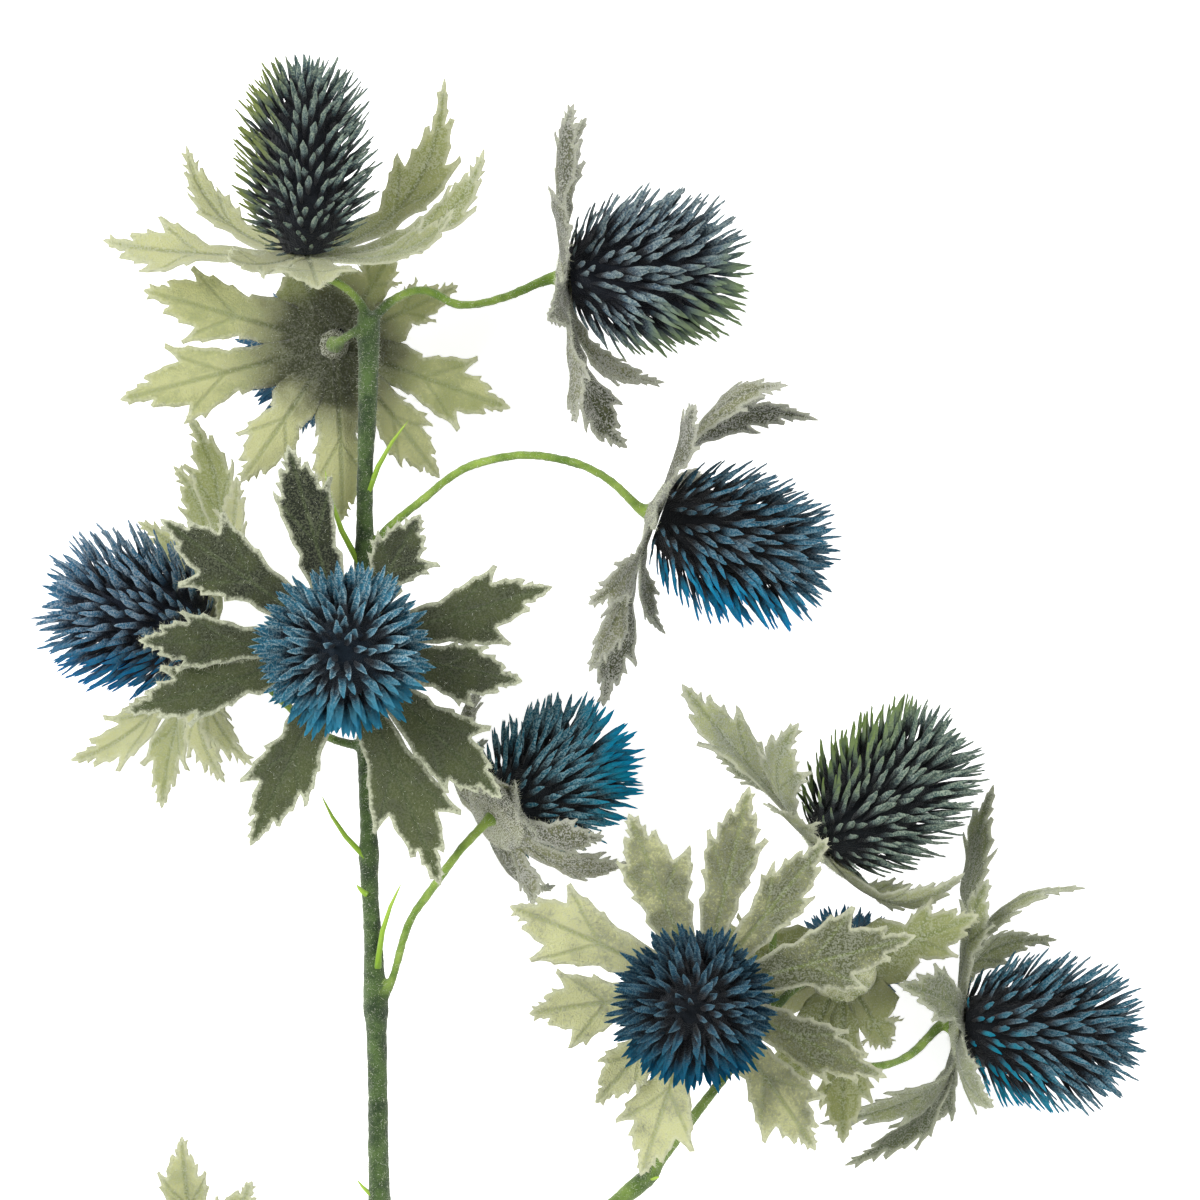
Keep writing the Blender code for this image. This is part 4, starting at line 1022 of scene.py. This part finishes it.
def build_spikes():
    """Spikes set on a turning spiral round a core, placed, leant and sized by how far up they are."""
    sockets = {
        "Core": "Geometry", "Kinds": "Collection", "Count": "Int", "Start": "Float", "Height": "Float",
        "Radius": "Float", "Size": "Float", "Seed": "Int", "Finish": "Material",
    }
    growth = Growth("spikes_on_core", sockets)
    given = growth.given
    turn_share = (growth.index + 0.5) / given["Count"]
    spacing = ((0, 0), (0.12, 0.15), (0.33, 0.35), (0.60, 0.6), (0.80, 0.8), (0.92, 0.92), (1, 1))
    outline = ((0, 0.55), (0.15, 0.88), (0.35, 1.0), (0.6, 0.97), (0.8, 0.80), (0.92, 0.55), (1, 0.12))
    sizes = ((0, 0.5), (0.1, 0.72), (0.3, 0.92), (0.6, 1.0), (0.9, 1.0), (1, 0.9))
    leans = ((0, 0.90), (0.12, 0.74), (0.35, 0.58), (0.65, 0.50), (0.88, 0.44), (0.96, 0.32), (1, 0.12))
    along = growth.curve(spacing, turn_share)
    size = growth.curve(sizes, along)
    radius = growth.curve(outline, along) * given["Radius"]
    around = growth.index * SPIRAL_TURN + growth.chance(-0.10, 0.10, 1)
    lean = growth.curve(leans, along) * LEAN_RANGE + growth.chance(-0.20, 0.20, 2)
    cosine, sine = around.math("COSINE", around), around.math("SINE", around)
    lean_cos, lean_sin = lean.math("COSINE", lean), lean.math("SINE", lean)
    place = growth.vector(radius * cosine, radius * sine, along * given["Height"] + given["Start"])
    ahead = growth.vector(cosine * lean_sin, sine * lean_sin, lean_cos)
    inward = growth.vector(cosine * lean_cos * -1, sine * lean_cos * -1, lean_sin)
    points = growth.node("GeometryNodePoints", None, {"Count": given["Count"], "Position": place})
    axes = {"primary_axis": "Z", "secondary_axis": "X"}
    turn = growth.node("FunctionNodeAxesToRotation", axes, {0: ahead, 1: inward})
    width = size**0.5 * given["Size"] * growth.chance(0.85, 1.15, 3)
    scale = growth.vector(width, width, size * given["Size"] * growth.chance(0.86, 1.12, 5))
    spikes = growth.set_out(points, turn, scale, SPIKE_KINDS - 1, 4)
    stored = {"Geometry": spikes, "Name": "tone", "Value": growth.chance(0.0, 1.0, 6)}
    on_each = {"data_type": "FLOAT", "domain": "INSTANCE"}
    toned = growth.node("GeometryNodeStoreNamedAttribute", on_each, stored)
    joined = growth.tree.nodes.new("GeometryNodeJoinGeometry")
    for part in (given["Core"], toned):
        growth.tree.links.new(part.socket, joined.inputs[0])
    growth.end(Wire(growth.tree, joined.outputs[0]))
    return growth


def core_mesh(start, height, radius):
    """The egg-shaped core under the spikes, round and closed at both ends."""
    work = bmesh.new()
    profile = ((0, 0.62), (0.15, 0.88), (0.35, 1.0), (0.6, 0.97), (0.8, 0.80), (0.92, 0.55), (1, 0.2))
    rings = []
    for along, wide in profile:
        reach = radius * wide * CORE_OVERSIZE
        ring = []
        for step in range(CORE_SIDES):
            angle = math.tau * step / CORE_SIDES
            place = (reach * math.cos(angle), reach * math.sin(angle), start + height * along)
            ring.append(work.verts.new(place))
        rings.append(ring)
    work.faces.new(rings[0][::-1])
    work.faces.new(rings[-1])
    join_rings(work, rings)
    return mesh_from(work, "core")


# Screen colours of each head's spikes: their feet, their middle, the painted light on their tips, which is
# also the colour of the light let through them, and the dust and painted highlight on their ridges. The last
# three numbers point to the side of the head whose tips the light comes through, where the tips are painted
# brightest.
CONE_LOOKS = {
    1: ((12, 22, 32), (48, 82, 98), (170, 182, 112), (158, 174, 160), (-1.0, 0.1, 0.1)),
    2: ((16, 28, 48), (50, 88, 122), (80, 140, 176), (160, 176, 190), (-1.0, -0.5, 0.0)),
    3: ((10, 22, 36), (48, 82, 108), (160, 178, 142), (152, 166, 168), (0.6, -0.8, 0.0)),
    4: ((3, 12, 20), (10, 62, 84), (0, 168, 212), (118, 138, 146), (-0.35, -0.94, 0.0)),
    5: ((12, 28, 46), (50, 104, 136), (10, 150, 196), (176, 190, 200), (0.0, -1.0, 0.0)),
    6: ((6, 32, 48), (34, 114, 144), (90, 176, 200), (188, 214, 220), (0.2, -1.0, 0.0)),
    7: ((2, 18, 26), (6, 70, 88), (0, 166, 198), (132, 160, 166), (0.9, 0.1, 0.0)),
    8: ((2, 18, 30), (12, 72, 98), (20, 128, 160), (108, 142, 154), (0.0, -1.0, 0.0)),
    9: ((14, 26, 32), (56, 84, 92), (160, 182, 116), (160, 174, 160), (-0.6, 0.5, 0.0)),
    10: ((3, 14, 24), (10, 60, 82), (0, 176, 204), (118, 138, 148), (-0.8, -0.6, 0.0)),
    11: ((14, 30, 46), (40, 78, 104), (60, 124, 154), (140, 156, 166), (0.0, 1.0, 0.0)),
    12: ((10, 30, 44), (30, 76, 100), (40, 122, 152), (132, 150, 160), (0.0, -1.0, 0.0)),
}


def spike_finish(name, foot, middle, tip, dust_and_highlight):
    """Dyed spikes: dark feet, blue middles, dust and painted highlight on ridges, painted light on tips, most
    on the lit side.
    """
    made, tree = new_finish(name)
    along = attribute(tree, "along")
    edge = attribute(tree, "edge")
    tone = attribute(tree, "tone")
    lit = attribute(tree, "lit")
    coarse = speckle(tree, 700.0, 3.0)
    fine = speckle(tree, 2800.0, 4.0)
    deep = (along + coarse * 0.5 - 0.25 + tone * 0.15).step(0.35, 0.80)
    colour = mix(tuple(c * 0.6 for c in tint(*foot)), tint(*middle), deep)
    # Painted light: the tips turn the bright tip colour, most on the side the light comes through, as if lit
    # from behind
    bright_side = (lit + coarse * 0.5 - 0.25).step(0.2, 0.85)
    painted_lit_tips = (along + tone * 0.3 - 0.15).step(0.35, 0.85) * (bright_side * 0.88 + 0.12)
    # The dust on the ridges, partly a painted highlight along them, with less of it on the lit side
    ridges = edge * 0.25 + fine * 1.2 + coarse * 0.35 - 0.25
    dust_and_painted_highlight = ridges.step(0.56, 0.86) * along.step(0.25, 0.75) * (1 - bright_side * 0.7)
    colour = mix(colour, tint(*dust_and_highlight), dust_and_painted_highlight * 0.9)
    colour = mix(colour, tint(*tip), painted_lit_tips)
    share = along.step(0.30, 0.9) * (bright_side * 0.60 + 0.08)
    close_finish(tree, colour, 0.75, 1.0, (fine + edge * 0.5, 0.0006), tint(*tip), share, 0.1)
    return made


def rest_on_table(piece):
    """Lifts what lies below the table up to it, and gives the piece's points as rows of x, y and z."""
    places = np.empty(len(piece.data.vertices) * 3)
    piece.data.vertices.foreach_get("co", places)
    places = places.reshape(-1, 3)
    places[:, 2] = np.maximum(places[:, 2], 0.0)
    piece.data.vertices.foreach_set("co", places.ravel())
    return places


spikes = build_spikes()
for number, (base, axis, length, width) in HEADS.items():
    size = width / WIDEST_HEAD
    start = CORE_START * MM
    height = (length - CORE_START - TIP_ALLOWANCE) * MM
    radius = CORE_RADIUS * size * SLIM_HEADS.get(number, 1.0) * MM
    values = {
        "Kinds": spike_kinds,
        "Count": SPIKE_COUNT,
        "Start": start,
        "Height": height,
        "Radius": radius,
        "Size": size * SLIM_HEADS.get(number, 1.0),
        "Seed": number * 11,
        "Finish": spike_finish(f"spike_dye_{number:02d}", *CONE_LOOKS[number][:4]),
    }
    core = object_from("cone_core", core_mesh(start, height, radius))
    cone = spikes.grow(core, f"head_{number:02d}_spikes", values)
    cone.data.transform(head_frame(base, axis))
    places = rest_on_table(cone)
    # How far each point lies towards the head's lit side, where the spike finish paints light on the tips
    middle = np.array(layout(*(Vector(base) + Vector(axis).normalized() * length * 0.5)))
    facing = np.array(Vector(CONE_LOOKS[number][4]).normalized())
    lit = np.clip((places - middle) @ facing / (0.5 * width * MM), -1, 1)
    cone.data.attributes.new("lit", "FLOAT", "POINT").data.foreach_set("value", lit)
    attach(cone, "root")
    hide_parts(f"head_{number:02d}_cone")
clear_kinds(spike_kinds)

# The down: fine pale fibres that stand on the leaves, thickest along their rims, and on the stem and cups.
# Each is a thin bristle, planted at random on the piece's skin.
FIBRE_WIDTH = 0.035
FIBRE_ROOT = 0.03
FIBRE_BEND = 0.25
FIBRE_KINDS = 3
FIBRE_SIDES = 3
fibre_kinds = new_kinds("fibre_kinds")
for kind in range(FIBRE_KINDS):
    draw = random.Random(70 + kind)
    work = bmesh.new()
    bend = (draw.uniform(-FIBRE_BEND, FIBRE_BEND), draw.uniform(-FIBRE_BEND, FIBRE_BEND))
    foot = []
    for step in range(FIBRE_SIDES):
        angle = step * math.tau / FIBRE_SIDES
        place = (math.cos(angle) * FIBRE_WIDTH, math.sin(angle) * FIBRE_WIDTH, -FIBRE_ROOT)
        foot.append(work.verts.new(Vector(place) * MM))
    point = work.verts.new(Vector((*bend, 1.0)) * MM)
    join_rings(work, [foot, [point]])
    work.faces.new(foot[::-1])
    name = f"fibre_{kind}"
    fibre_kinds.objects.link(bpy.data.objects.new(name, mesh_from(work, name)))


def build_down():
    """Bristles scattered over a skin, more of them near its rim, each leaning its own way."""
    sockets = {
        "Skin": "Geometry", "Kinds": "Collection", "Density": "Float", "Rim Density": "Float",
        "Rim Width": "Float", "Length": "Float", "Seed": "Int", "Finish": "Material",
    }
    growth = Growth("down_on_skin", sockets)
    tree, given = growth.tree, growth.given
    margin = growth.node("GeometryNodeInputNamedAttribute", {"data_type": "FLOAT"}, {"Name": "margin"})
    near = 1 - (margin / given["Rim Width"]).step(0.2, 1.0)
    density = given["Density"] + near * given["Rim Density"]
    scatter = tree.nodes.new("GeometryNodeDistributePointsOnFaces")
    for socket, wire in (("Mesh", given["Skin"]), ("Density", density), ("Seed", given["Seed"])):
        tree.links.new(wire.socket, scatter.inputs[socket])
    points, turn = Wire(tree, scatter.outputs["Points"]), Wire(tree, scatter.outputs["Rotation"])
    lean = growth.chance((-0.9, -0.9, -3.1), (0.9, 0.9, 3.1), 1, "FLOAT_VECTOR")
    leant = growth.node("FunctionNodeEulerToRotation", None, {0: lean})
    turns = {"Rotation": turn, "Rotate By": leant}
    turned = growth.node("FunctionNodeRotateRotation", {"rotation_space": "LOCAL"}, turns)
    tall = given["Length"] * growth.chance(0.5, 1.3, 2) * (near * 0.5 + 0.7)
    growth.end(growth.set_out(points, turned, growth.vector(1.0, 1.0, tall), FIBRE_KINDS - 1, 3))
    return growth


down_finish, tree = new_finish("down_pale")
grain = speckle(tree, 900.0)
colour = mix(tint(206, 210, 184), tint(236, 238, 226), grain.step(0.35, 0.65))
close_finish(tree, colour, 0.8, 0.1, (grain, 0.0001), tint(226, 230, 206), 0.45, 0.2)
down_growth = build_down()
# For each kind of skin: fibres a square metre, how many more near its rim, the rim's width and their length
DOWN_LOOKS = {
    "whorl": (0.3e6, 3.4e6, 0.9, 0.9),
    "cup": (2.5e6, 0.0, 0.01, 0.8),
    "stem": (1.1e6, 0.0, 0.01, 0.65),
}
CUP_DOWN = 0.7


def add_down(skin, kind, seed, share=1.0):
    """The down on one piece, as a piece of its own."""
    density, rim_density, rim, length = DOWN_LOOKS[kind]
    values = {
        "Kinds": fibre_kinds,
        "Density": density * share,
        "Rim Density": rim_density * share,
        "Rim Width": rim,
        "Length": length,
        "Seed": seed,
        "Finish": down_finish,
    }
    down = down_growth.grow(object_from("down_guide", skin.data.copy()), f"{skin.name}_down", values)
    rest_on_table(down)
    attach(down, "root")


for number in HEADS:
    add_down(bpy.data.objects[f"head_{number:02d}_whorl"], "whorl", number)
    share = CUP_SHADES.get(number, 1.0) * CUP_DOWN
    add_down(bpy.data.objects[f"head_{number:02d}_cup"], "cup", 20 + number, share)
add_down(stem, "stem", 50)
clear_kinds(fibre_kinds)
